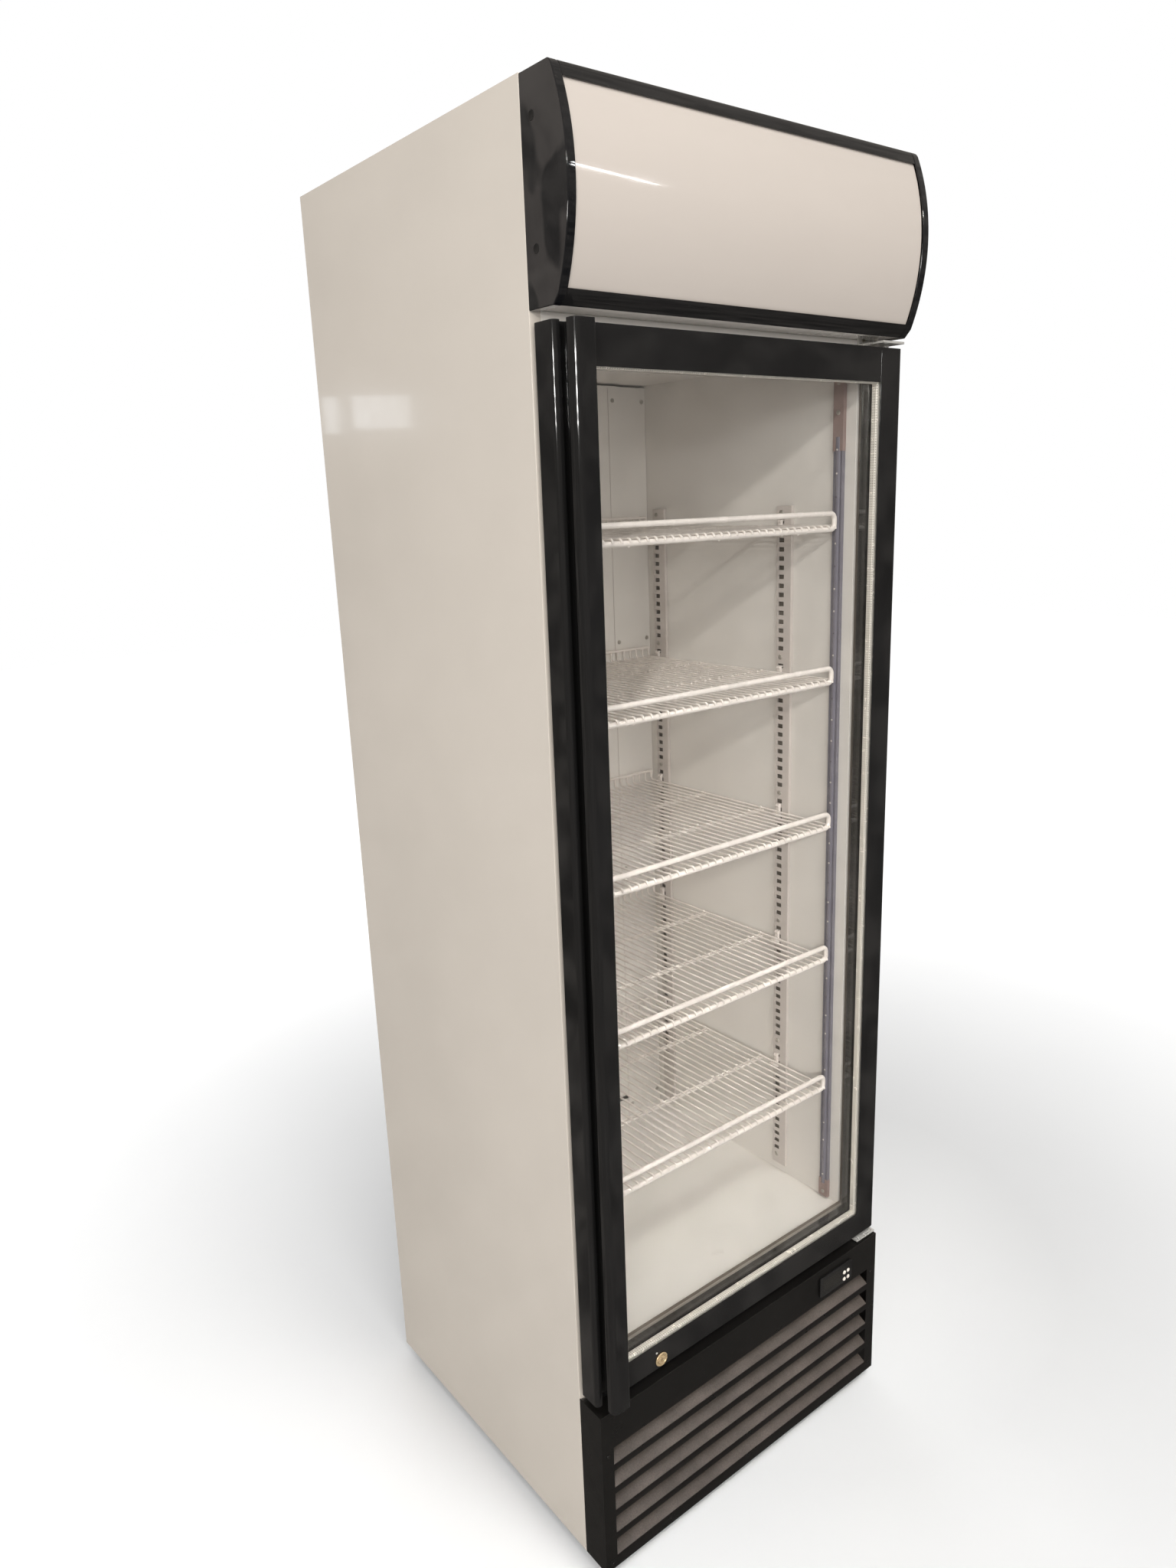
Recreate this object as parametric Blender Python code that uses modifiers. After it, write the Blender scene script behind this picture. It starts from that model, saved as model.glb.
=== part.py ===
"""Upright reach-in refrigerator with one glass door, a light canopy and a louvred base.

Frame: +Z up, +X to the right, front towards -Y, origin on the floor under the middle
of the bounding box.  Lengths are in metres.  Inside this file a place is given as
(x, depth, height): depth runs back from the cabinet's front plane, and height runs up
from the lower edge of the side panels, which the feet hold clear of the floor.
"""

import math

import bmesh
import bpy
from mathutils import Matrix, Vector

# ---------------------------------------------------------------- driving dimensions
WIDTH = 0.620
BODY_DEPTH = 0.556
BODY_HEIGHT = 1.980
FOOT_HEIGHT = 0.020
CANOPY_BULGE = 0.079

SHEET = 0.0012
GAP = 0.0003
RUNNING = 0.0001
WALL = 0.0454

BASE_TOP = 0.2786
GRILLE_DEPTH = 0.049
INSIDE_FLOOR = 0.333
INSIDE_CEILING = 1.730
LINER_DEPTH = 0.510
DUCT_DEPTH = 0.465
DUCT_BULGE = 0.010
CANOPY_BOTTOM = 1.7444

DOOR_BOTTOM = 0.2915
DOOR_TOP = 1.7315
DOOR_FRONT = -0.0420
DOOR_BACK = -0.0085
STILE = 0.046
RAIL_BOTTOM_TOP = 0.3346
RAIL_TOP_BOTTOM = 1.6851
REBATE = 0.0135
HINGE_X = 0.293
HINGE_DEPTH = -0.026
PIN_RADIUS = 0.004

LOCK_X = -0.188
LOCK_HEIGHT = 0.305

SHELF_HEIGHTS = (0.556, 0.792, 1.0195, 1.253, 1.484)
SHELF_FRONT = 0.022
SHELF_BACK = 0.446
SHELF_HALF = 0.250
WIRES = 34

LOUVRES = 5
LOUVRE_PITCH = 0.0413
LOUVRE_TOP = 0.2155
LOUVRE_OPENING = 0.0297
LOUVRE_HALF = 0.2885

# ---------------------------------------------------------------- derived dimensions
HALF = WIDTH / 2
FRONT = CANOPY_BULGE - (BODY_DEPTH + CANOPY_BULGE) / 2
INSIDE_HALF = HALF - WALL
SKIN = HALF - SHEET - GAP
FOAM_BOTTOM = BASE_TOP + 0.0087
BACK_SHEET = BODY_DEPTH - SHEET - GAP
RIGHT_ANGLE = math.pi / 2

# ---------------------------------------------------------------- scene and materials


def place(x, depth, height):
    """World coordinates of a place given as x, depth and height."""
    return Vector((x, FRONT + depth, FOOT_HEIGHT + height))


def clear_scene():
    for obj in list(bpy.data.objects):
        bpy.data.objects.remove(obj, do_unlink=True)


def new_collection(name):
    collection = bpy.data.collections.new(name)
    bpy.context.scene.collection.children.link(collection)
    return collection


clear_scene()
PARTS = new_collection("reach_in_refrigerator")
CUTTERS = new_collection("cutters")
CUTTERS.hide_render = True


def finish_of(name, color, roughness, metallic=0.0):
    mat = bpy.data.materials.new(name)
    mat.use_nodes = True
    shader = mat.node_tree.nodes["Principled BSDF"]
    shader.inputs["Base Color"].default_value = (*color, 1.0)
    shader.inputs["Roughness"].default_value = roughness
    shader.inputs["Metallic"].default_value = metallic
    mat.diffuse_color = (*color, 1.0)
    return mat


WHITE_PAINT = finish_of("white_paint", (0.62, 0.57, 0.50), 0.35)
WHITE_LINER = finish_of("white_liner", (0.60, 0.58, 0.53), 0.45)
BLACK_PAINT = finish_of("black_paint", (0.012, 0.012, 0.012), 0.45)
BLACK_PROFILE = finish_of("black_profile", (0.012, 0.012, 0.012), 0.30)
BLACK_GLOSS = finish_of("black_gloss", (0.010, 0.010, 0.012), 0.12)
GREY_PAINT = finish_of("grey_paint", (0.35, 0.34, 0.32), 0.40)
GALVANISED = finish_of("galvanised", (0.55, 0.56, 0.58), 0.40, 1.0)
STEEL = finish_of("steel", (0.60, 0.60, 0.60), 0.30, 1.0)
ALUMINIUM = finish_of("aluminium", (0.75, 0.75, 0.75), 0.35, 1.0)
COPPER = finish_of("copper", (0.72, 0.42, 0.28), 0.35, 1.0)
NICKEL = finish_of("nickel", (0.72, 0.65, 0.50), 0.22, 1.0)
GLASS = finish_of("clear_glass", (0.80, 0.88, 0.86), 0.02)
SIGN = finish_of("sign_acrylic", (0.62, 0.58, 0.55), 0.15)
LAMP = finish_of("lamp", (0.90, 0.90, 0.88), 0.30)
RUBBER = finish_of("gasket_rubber", (0.45, 0.44, 0.42), 0.60)
FOAM = finish_of("foam", (0.75, 0.62, 0.35), 0.90)
WIRE_WHITE = finish_of("wire_coating", (0.78, 0.75, 0.68), 0.30)
LED_GREY = finish_of("led_strip", (0.32, 0.32, 0.36), 0.40)
BUTTON_WHITE = finish_of("button_white", (0.70, 0.66, 0.62), 0.40)
FOOT_BLACK = finish_of("foot_plastic", (0.03, 0.03, 0.03), 0.50)

# ---------------------------------------------------------------- modelling helpers


def add_object(name, data, mat, collection=None):
    obj = bpy.data.objects.new(name, data)
    if mat is not None:
        data.materials.append(mat)
    (collection or PARTS).objects.link(obj)
    return obj


def as_helper(obj):
    """Turns an object into a Boolean operand that is no part of the model."""
    for collection in list(obj.users_collection):
        collection.objects.unlink(obj)
    CUTTERS.objects.link(obj)
    obj.hide_render = True
    obj.display_type = "WIRE"
    return obj


def smooth(mesh, degrees=35):
    mesh.shade_smooth()
    mesh.set_sharp_from_angle(angle=math.radians(degrees))


def add_box_to(bm, low, high, turn=None):
    """Adds a box between two corners, given as places, optionally turned about its middle."""
    low, high = place(*low), place(*high)
    size = high - low
    middle = (low + high) / 2
    matrix = Matrix.Translation(middle) @ (turn or Matrix.Identity(4)) @ Matrix.Diagonal((*size, 1))
    bmesh.ops.create_cube(bm, size=1.0, matrix=matrix)


def boxes(name, corners, mat=None):
    """One mesh object of boxes; each entry is (low, high) or (low, high, turn)."""
    bm = bmesh.new()
    for entry in corners:
        add_box_to(bm, *entry)
    mesh = bpy.data.meshes.new(name)
    bm.to_mesh(mesh)
    bm.free()
    return add_object(name, mesh, mat)


def box(name, low, high, mat, bevel=0.0):
    obj = boxes(name, [(low, high)], mat)
    if bevel:
        modifier = obj.modifiers.new("edges", "BEVEL")
        modifier.width = bevel
        modifier.segments = 2
    return obj


def rods(name, entries, axis, mat=None, segments=16):
    """Cylinders along one axis in one mesh; each entry is (centre place, radius, length)."""
    turns = {
        "X": Matrix.Rotation(RIGHT_ANGLE, 4, "Y"),
        "Y": Matrix.Rotation(RIGHT_ANGLE, 4, "X"),
        "Z": Matrix.Identity(4),
    }
    bm = bmesh.new()
    for centre, radius, length in entries:
        bmesh.ops.create_cone(
            bm,
            cap_ends=True,
            segments=segments,
            radius1=radius,
            radius2=radius,
            depth=length,
            matrix=Matrix.Translation(place(*centre)) @ turns[axis],
        )
    mesh = bpy.data.meshes.new(name)
    bm.to_mesh(mesh)
    bm.free()
    smooth(mesh)
    return add_object(name, mesh, mat)


def turned(name, profile, centre, axis, mat, steps=20):
    """A solid of revolution: profile is (radius, length) down the outer side."""
    mesh = bpy.data.meshes.new(name)
    points = [(radius, 0.0, along) for radius, along in profile]
    edges = [(i, i + 1) for i in range(len(points) - 1)]
    mesh.from_pydata(points, edges, [])
    obj = add_object(name, mesh, mat)
    screw = obj.modifiers.new("turn", "SCREW")
    screw.steps = steps
    screw.render_steps = steps
    screw.use_merge_vertices = True
    screw.merge_threshold = 0.00001
    screw.use_smooth_shade = True
    obj.location = place(*centre)
    if axis == "Y":
        obj.rotation_euler = (-RIGHT_ANGLE, 0, 0)
    return obj


PLANES = {
    "XZ": (RIGHT_ANGLE, 0, 0),
    "YZ": (RIGHT_ANGLE, 0, RIGHT_ANGLE),
    "XY": (0, 0, 0),
}


def outline(name, loops, span, plane, mat):
    """A flat outline, first loop outside and the others holes, made solid between two
    values of the remaining coordinate.  Plane coordinates are x, depth or height."""
    curve = bpy.data.curves.new(name, "CURVE")
    curve.dimensions = "2D"
    curve.fill_mode = "BOTH"
    curve.extrude = (span[1] - span[0]) / 2
    for loop in loops:
        spline = curve.splines.new("POLY")
        spline.points.add(len(loop) - 1)
        for point, (a, b) in zip(spline.points, loop):
            point.co = (a, b, 0, 1)
        spline.use_cyclic_u = True
    obj = add_object(name, curve, mat)
    middle = (span[0] + span[1]) / 2
    origins = {"XZ": (0, middle, 0), "YZ": (middle, 0, 0), "XY": (0, 0, middle)}
    obj.location = place(*origins[plane])
    obj.rotation_euler = PLANES[plane]
    return obj


def sheet(name, profile, span, plane, thickness, mat, inward=True):
    """Folded sheet: an open profile drawn in a plane, drawn out along the remaining
    coordinate and thickened to one side of the drawn line."""
    bm = bmesh.new()
    spots = {
        "XY": lambda p, s: place(p[0], p[1], s),
        "YZ": lambda p, s: place(s, p[0], p[1]),
        "XZ": lambda p, s: place(p[0], s, p[1]),
    }
    near = [bm.verts.new(spots[plane](p, span[0])) for p in profile]
    edges = [bm.edges.new(pair) for pair in zip(near, near[1:])]
    moved = bmesh.ops.extrude_edge_only(bm, edges=edges)["geom"]
    shift = spots[plane](profile[0], span[1]) - spots[plane](profile[0], span[0])
    bmesh.ops.translate(bm, vec=shift, verts=[v for v in moved if isinstance(v, bmesh.types.BMVert)])
    mesh = bpy.data.meshes.new(name)
    bm.to_mesh(mesh)
    bm.free()
    obj = add_object(name, mesh, mat)
    thicken(obj, thickness, -1.0 if inward else 1.0)
    return obj


def thicken(obj, thickness, side):
    modifier = obj.modifiers.new("thickness", "SOLIDIFY")
    modifier.thickness = thickness
    modifier.offset = side
    modifier.use_even_offset = True


def tube(name, points, radius, mat, cyclic=False, sides=8):
    """A round bar along a list of places."""
    curve = bpy.data.curves.new(name, "CURVE")
    curve.dimensions = "3D"
    curve.bevel_depth = radius
    curve.bevel_resolution = (sides - 4) // 2
    curve.use_fill_caps = True
    spline = curve.splines.new("POLY")
    spline.points.add(len(points) - 1)
    for point, where in zip(spline.points, points):
        point.co = (*place(*where), 1)
    spline.use_cyclic_u = cyclic
    return add_object(name, curve, mat)


def to_mesh(obj):
    """Replaces a curve object by the mesh it makes, with its loose caps welded."""
    bpy.context.view_layer.update()
    evaluated = obj.evaluated_get(bpy.context.evaluated_depsgraph_get())
    mesh = bpy.data.meshes.new_from_object(evaluated)
    bm = bmesh.new()
    bm.from_mesh(mesh)
    bmesh.ops.remove_doubles(bm, verts=bm.verts, dist=0.00001)
    bmesh.ops.recalc_face_normals(bm, faces=bm.faces)
    bm.to_mesh(mesh)
    bm.free()
    name, matrix = obj.name, obj.matrix_world.copy()
    bpy.data.objects.remove(obj, do_unlink=True)
    made = add_object(name, mesh, None)
    made.matrix_world = matrix
    return made


def combine(obj, operation, others):
    """Adds Boolean modifiers: DIFFERENCE cuts the others out, UNION joins them on."""
    for other in others:
        if other.type == "CURVE":
            other = to_mesh(other)
        as_helper(other)
        modifier = obj.modifiers.new(other.name, "BOOLEAN")
        modifier.operation = operation
        modifier.solver = "EXACT"
        modifier.object = other
    return obj


def cut(obj, *others):
    return combine(obj, "DIFFERENCE", others)


def join(obj, *others):
    return combine(obj, "UNION", others)


def arc(centre, radius, start, end, steps):
    """Points on an arc, angles in degrees."""
    found = []
    for i in range(steps + 1):
        angle = math.radians(start + (end - start) * i / steps)
        found.append((centre[0] + radius * math.cos(angle), centre[1] + radius * math.sin(angle)))
    return found


def rectangle(low, high):
    return [low, (high[0], low[1]), high, (low[0], high[1])]


def axis_empty(name, x, depth, height):
    empty = bpy.data.objects.new(name, None)
    empty.location = place(x, depth, height)
    PARTS.objects.link(empty)
    return empty


def carry(empty, *objects):
    """Parents objects to an unturned empty and leaves them where they stand."""
    for obj in objects:
        obj.parent = empty
        obj.matrix_parent_inverse = Matrix.Translation(-empty.location)


def mirrored(points):
    return [(-a, b) for a, b in reversed(points)]


# ---------------------------------------------------------------- cabinet shell


def side_panels():
    """Painted steel sides with a front and a rear return fold."""
    profile = [(-0.294, 0.0), (-HALF, 0.0), (-HALF, BODY_DEPTH), (-0.290, BODY_DEPTH)]
    span = (0.0, BODY_HEIGHT)
    sheet("side_panel_left", profile, span, "XY", SHEET, WHITE_PAINT)
    sheet("side_panel_right", mirrored(profile), span, "XY", SHEET, WHITE_PAINT)


def top_panel():
    """Top sheet, folded down at the front behind the canopy."""
    front = SHEET + GAP
    profile = [(front, 1.7580), (front, BODY_HEIGHT), (BACK_SHEET - GAP, BODY_HEIGHT)]
    sheet("top_panel", profile, (-SKIN, SKIN), "YZ", SHEET, WHITE_PAINT)


def back_panels():
    box("back_panel", (-SKIN, BACK_SHEET - SHEET, FOAM_BOTTOM), (SKIN, BACK_SHEET, 1.9785), GALVANISED)
    holes = []
    for column in (-0.150, 0.060):
        for row in range(7):
            height = 0.075 + row * 0.026
            holes.append(rectangle((column - 0.090, height), (column + 0.090, height + 0.010)))
    inlet = rectangle((0.218, 0.060), (0.246, 0.108))
    frame = rectangle((-SKIN, 0.002), (SKIN, FOAM_BOTTOM - 0.0005))
    span = (BACK_SHEET - SHEET, BACK_SHEET)
    outline("rear_vent_cover", [frame, *holes, inlet], span, "XZ", GALVANISED)


def foam_insulation():
    low = (-SKIN, 0.0030, FOAM_BOTTOM)
    high = (SKIN, BACK_SHEET - SHEET - GAP, 1.9785)
    foam = box("foam_insulation", low, high, FOAM)
    edge = SHEET + GAP
    inside = box(
        "foam_cavity",
        (-INSIDE_HALF - edge, -0.010, INSIDE_FLOOR - edge),
        (INSIDE_HALF + edge, LINER_DEPTH + edge, INSIDE_CEILING + edge),
        None,
    )
    cut(foam, inside, rods("foam_pipe_hole", [(SUCTION_RISER + (0.31,), 0.010, 0.06)], "Z"))


def inner_liner():
    """Five-sided food compartment drawn from one sheet, with a flange round its mouth."""
    bm = bmesh.new()
    low = (-INSIDE_HALF, 0.0, INSIDE_FLOOR)
    high = (INSIDE_HALF, LINER_DEPTH, INSIDE_CEILING)
    add_box_to(bm, low, high)
    front_y = place(0, 0, 0).y
    mouth = [f for f in bm.faces if all(abs(v.co.y - front_y) < 1e-6 for v in f.verts)]
    bmesh.ops.delete(bm, geom=mouth, context="FACES_ONLY")
    rim = [e for e in bm.edges if all(abs(v.co.y - front_y) < 1e-6 for v in e.verts)]
    moved = bmesh.ops.extrude_edge_only(bm, edges=rim)["geom"]
    middle = place(0, 0, 1.0).z
    for vert in (v for v in moved if isinstance(v, bmesh.types.BMVert)):
        vert.co.x = math.copysign(0.2937, vert.co.x)
        vert.co.z = place(0, 0, 1.7575 if vert.co.z > middle else 0.240).z
    bmesh.ops.recalc_face_normals(bm, faces=bm.faces)
    mesh = bpy.data.meshes.new("inner_liner")
    bm.to_mesh(mesh)
    bm.free()
    liner = add_object("inner_liner", mesh, WHITE_LINER)
    thicken(liner, SHEET, -1.0)
    cut(liner, rods("liner_pipe_hole", [(SUCTION_RISER + (0.333,), 0.009, 0.02)], "Z"))


def base_tray():
    """Folded floor of the machine compartment, with a hole for each foot's stem."""
    bm = bmesh.new()
    add_box_to(bm, (-0.3080, 0.0035, 0.0005), (0.3080, 0.5520, 0.022))
    top = place(0, 0, 0.022).z
    lid = [f for f in bm.faces if all(abs(v.co.z - top) < 1e-6 for v in f.verts)]
    bmesh.ops.delete(bm, geom=lid, context="FACES_ONLY")
    mesh = bpy.data.meshes.new("base_tray")
    bm.to_mesh(mesh)
    bm.free()
    tray = add_object("base_tray", mesh, GALVANISED)
    thicken(tray, SHEET, -1.0)
    holes = [((x, depth, 0.0), 0.004 + GAP, 0.02) for x, depth in FOOT_PLACES]
    cut(tray, rods("tray_foot_holes", holes, "Z"))


# ---------------------------------------------------------------- base front


def front_grille():
    """Black louvred box in front of the machine compartment."""
    bm = bmesh.new()
    front = -GRILLE_DEPTH
    add_box_to(bm, (-HALF, front, 0.0), (HALF, -0.0005, BASE_TOP))
    rear = place(0, -0.0005, 0).y
    back = [f for f in bm.faces if all(abs(v.co.y - rear) < 1e-6 for v in f.verts)]
    bmesh.ops.delete(bm, geom=back, context="FACES_ONLY")
    mesh = bpy.data.meshes.new("front_grille")
    bm.to_mesh(mesh)
    bm.free()
    grille = add_object("front_grille", mesh, BLACK_PAINT)
    thicken(grille, SHEET, -1.0)
    inner = HALF - SHEET - GAP
    openings = [
        ((-inner, front + 0.015, -0.01), (inner, 0.01, 0.01)),
        ((-inner, -0.0058, 0.27), (inner, 0.01, 0.29)),
        ((0.1645, front - 0.01, 0.2303), (0.2365, front + 0.01, 0.2602)),
    ]
    blades = []
    blade_length = 0.0290
    slope = math.radians(29)
    for i in range(LOUVRES):
        top = LOUVRE_TOP - i * LOUVRE_PITCH
        bottom = top - LOUVRE_OPENING
        openings.append(((-LOUVRE_HALF, front - 0.01, bottom), (LOUVRE_HALF, front + 0.01, top)))
        middle_depth = front + 0.0006 + math.cos(slope) * blade_length / 2
        middle_height = bottom - 0.0003 + math.sin(slope) * blade_length / 2
        low = (-LOUVRE_HALF - 0.0005, middle_depth - blade_length / 2, middle_height - SHEET / 2)
        high = (LOUVRE_HALF + 0.0005, middle_depth + blade_length / 2, middle_height + SHEET / 2)
        blades.append((low, high, Matrix.Rotation(slope, 4, "X")))
    cut(grille, boxes("grille_openings", openings))
    join(grille, boxes("grille_blades", blades))


BUTTON_PLACES = [(x, height) for x in (0.2209, 0.2309) for height in (0.2468, 0.2340)]


def controller():
    """Thermostat bezel with four push buttons, clipped into the grille's upper band."""
    face = -GRILLE_DEPTH - GAP
    bezel = box("controller_bezel", (0.1596, face - 0.0030, 0.2269), (0.2416, face, 0.2636), BLACK_GLOSS)
    body = box("controller_body", (0.1650, face - 0.001, 0.2308), (0.2360, -0.0040, 0.2597), None)
    join(bezel, body)
    pockets = [((x, face - 0.0030, z), 0.0038, 0.0080) for x, z in BUTTON_PLACES]
    cut(bezel, rods("controller_pockets", pockets, "Y"))
    for number, (x, z) in enumerate(BUTTON_PLACES, 1):
        empty = axis_empty(f"button_{number}_slide", x, face, z)
        button = rods(f"button_{number}", [((x, face - 0.0028, z), 0.0034, 0.0034)], "Y", BUTTON_WHITE)
        carry(empty, button)


# ---------------------------------------------------------------- feet

FOOT_PLACES = [(x, depth) for x in (-0.270, 0.270) for depth in (0.050, 0.500)]


def levelling_feet():
    """Pad, neck, nut and threaded stem; each slides down as it is screwed out."""
    nut_top = 0.0002
    profile = [
        (0.0, 0.026),
        (0.004, 0.026),
        (0.004, nut_top),
        (0.010, nut_top),
        (0.010, -0.007),
        (0.018, -0.014),
        (0.018, -FOOT_HEIGHT),
        (0.0, -FOOT_HEIGHT),
    ]
    names = ("rear_left", "rear_right", "front_left", "front_right")
    for x, depth in FOOT_PLACES:
        name = names[(depth < 0.2) * 2 + (x > 0)]
        empty = axis_empty(f"foot_{name}_slide", x, depth, 0.0)
        foot = turned(f"foot_{name}", profile, (x, depth, 0.0), "Z", FOOT_BLACK, steps=16)
        carry(empty, foot)


# ---------------------------------------------------------------- machine compartment

COMPRESSOR = (0.130, 0.400)
CONDENSER_FAN = (-0.100, 0.140)
CONDENSER_X = (-0.270, 0.070)
SUCTION_RISER = (-0.225, 0.490)


def fin_block(name, low, high, fins, fin_width, mat):
    """Upright fins side by side, joined through the middle by the tube row."""
    pitch = (high[0] - low[0] - fin_width) / (fins - 1)
    middle = (low[1] + high[1]) / 2
    row_low = (low[0] + 0.001, middle - 0.003, low[2] + 0.004)
    row_high = (high[0] - 0.001, middle + 0.003, high[2] - 0.004)
    block = boxes(name, [(row_low, row_high)], mat)
    plates = []
    for i in range(fins):
        left = low[0] + i * pitch
        plates.append(((left, low[1], low[2]), (left + fin_width, high[1], high[2])))
    return join(block, boxes(f"{name}_fins", plates))


def compressor():
    """Hermetic compressor can on its base plate, with legs, studs and terminal box."""
    x, depth = COMPRESSOR
    profile = [
        (0.0, 0.190),
        (0.035, 0.187),
        (0.060, 0.172),
        (0.073, 0.145),
        (0.075, 0.045),
        (0.066, 0.020),
        (0.055, 0.015),
        (0.0, 0.015),
    ]
    can = turned("compressor", profile, (x, depth, 0.0), "Z", BLACK_GLOSS)
    plate = ((x - 0.100, depth - 0.070, 0.0135), (x + 0.090, depth + 0.070, 0.0165))
    terminals = ((x + 0.060, depth - 0.030, 0.060), (x + 0.094, depth + 0.030, 0.120))
    corners = [(x + a, depth + b) for a in (-0.088, 0.078) for b in (-0.058, 0.058)]
    legs = [((a, b, 0.0080), 0.009, 0.0120) for a, b in corners]
    join(can, boxes("compressor_plate", [plate]), boxes("compressor_terminals", [terminals]))
    join(can, rods("compressor_legs", legs, "Z", None, 12))


def drain_pan():
    """Open tray on top of the compressor that boils off the melt water."""
    x, depth = COMPRESSOR
    bm = bmesh.new()
    add_box_to(bm, (x - 0.070, depth - 0.070, 0.1905), (x + 0.070, depth + 0.070, 0.2155))
    top = place(0, 0, 0.2155).z
    lid = [f for f in bm.faces if all(abs(v.co.z - top) < 1e-6 for v in f.verts)]
    bmesh.ops.delete(bm, geom=lid, context="FACES_ONLY")
    mesh = bpy.data.meshes.new("drain_pan")
    bm.to_mesh(mesh)
    bm.free()
    thicken(add_object("drain_pan", mesh, BLACK_PAINT), 0.002, -1.0)


def condenser():
    """Finned condenser with the copper discharge pipe brazed to it."""
    low = (CONDENSER_X[0], 0.025, 0.030)
    high = (CONDENSER_X[1], 0.072, 0.240)
    coil = fin_block("condenser_coil", low, high, 18, 0.004, COPPER)
    route = [
        (CONDENSER_X[1] - 0.002, 0.0485, 0.220),
        (0.092, 0.0485, 0.220),
        (0.108, 0.056, 0.220),
        (0.114, 0.075, 0.219),
        (0.118, 0.200, 0.190),
        (0.124, 0.280, 0.145),
        (0.126, COMPRESSOR[1] - 0.0780, 0.120),
    ]
    join(coil, tube("discharge_pipe", route, 0.0035, None))


def condenser_fan():
    """Shroud plate with a round mouth, motor on its strap bracket, and the blade."""
    x, height = CONDENSER_FAN
    mouth = arc((x, height), 0.094, 0, 345, 23)
    frame = rectangle((CONDENSER_X[0], 0.028), (CONDENSER_X[1], 0.242))
    outline("condenser_fan_shroud", [frame, mouth], (0.0745, 0.0780), "XZ", GALVANISED)
    profile = [
        (0.0, 0.058),
        (0.030, 0.058),
        (0.040, 0.050),
        (0.040, 0.008),
        (0.012, 0.0),
        (0.003, 0.0),
        (0.003, -0.026),
        (0.0, -0.026),
    ]
    motor = turned("condenser_fan_motor", profile, (x, 0.112, height), "Y", BLACK_PAINT, steps=16)
    left, right = CONDENSER_X[0] + 0.012, CONDENSER_X[1] - 0.012
    strap = boxes("fan_strap", [((left, 0.150, height - 0.010), (right, 0.152, height + 0.010))])
    ends = [
        ((left, 0.0783, height - 0.0101), (left + 0.002, 0.1521, height + 0.0101)),
        ((right - 0.002, 0.0783, height - 0.0101), (right, 0.1521, height + 0.0101)),
    ]
    join(motor, strap, boxes("fan_strap_ends", ends))
    fan_blade("condenser_fan_blade", (x, 0.0920, height), 0.018, 0.086, 0.032, 0.003)


def fan_blade(name, centre, hub, radius, width, shaft):
    """Bored hub with five pitched vanes, turning about an axis along the depth."""
    pitch = Matrix.Rotation(math.radians(28), 4, "Z")
    reach = Matrix.Translation((0, 0, (hub + radius) / 2 - 0.002))
    size = Matrix.Diagonal((width, 0.002, radius - hub + 0.004, 1))
    bm = bmesh.new()
    for i in range(5):
        spin = Matrix.Rotation(math.tau * i / 5, 4, "Y")
        matrix = Matrix.Translation(place(*centre)) @ spin @ reach @ pitch @ size
        bmesh.ops.create_cube(bm, size=1.0, matrix=matrix)
    mesh = bpy.data.meshes.new(f"{name}_vanes")
    bm.to_mesh(mesh)
    bm.free()
    fan = rods(name, [(centre, hub, 0.014)], "Y", BLACK_PAINT)
    join(fan, add_object(f"{name}_vanes", mesh, None))
    cut(fan, rods(f"{name}_bore", [(centre, shaft + RUNNING, 0.05)], "Y", None, 16))
    carry(axis_empty(f"{name}_spin", *centre), fan)


def rear_services():
    """Appliance inlet socket in the rear cover."""
    inlet = boxes("power_inlet", [((0.2120, 0.5548, 0.0520), (0.2520, BODY_DEPTH, 0.1160))], BLACK_PAINT)
    join(inlet, boxes("inlet_body", [((0.2185, 0.5300, 0.0605), (0.2455, 0.5555, 0.1075))]))
    cut(inlet, boxes("inlet_socket", [((0.2220, 0.5350, 0.0700), (0.2420, 0.5700, 0.0980))]))


# ---------------------------------------------------------------- cold air duct

EVAPORATOR_FAN = (0.0, 0.4700, 1.645)


def evaporator():
    fin_block("evaporator_coil", (-0.190, 0.4715, 1.310), (0.190, 0.5075, 1.560), 20, 0.004, ALUMINIUM)
    x, depth = SUCTION_RISER
    start = COMPRESSOR[0] - 0.0775
    route = [
        (start, COMPRESSOR[1], 0.120),
        (0.010, 0.415, 0.112),
        (-0.060, 0.450, 0.112),
        (-0.150, 0.484, 0.120),
        (-0.205, depth, 0.145),
        (x, depth, 0.185),
        (x, depth, 1.315),
        (x + 0.004, depth, 1.330),
        (x + 0.016, depth, 1.337),
        (-0.1905, depth, 1.337),
    ]
    tube("suction_pipe", route, 0.004, COPPER)


def evaporator_fan():
    x, depth, height = EVAPORATOR_FAN
    profile = [
        (0.0, 0.0257),
        (0.022, 0.0257),
        (0.022, 0.002),
        (0.018, 0.0),
        (0.002, 0.0),
        (0.002, -0.020),
        (0.0, -0.020),
    ]
    turned("evaporator_fan_motor", profile, (x, 0.484, height), "Y", BLACK_PAINT, steps=16)
    fan_blade("evaporator_fan_blade", EVAPORATOR_FAN, 0.014, 0.058, 0.020, 0.002)


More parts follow.
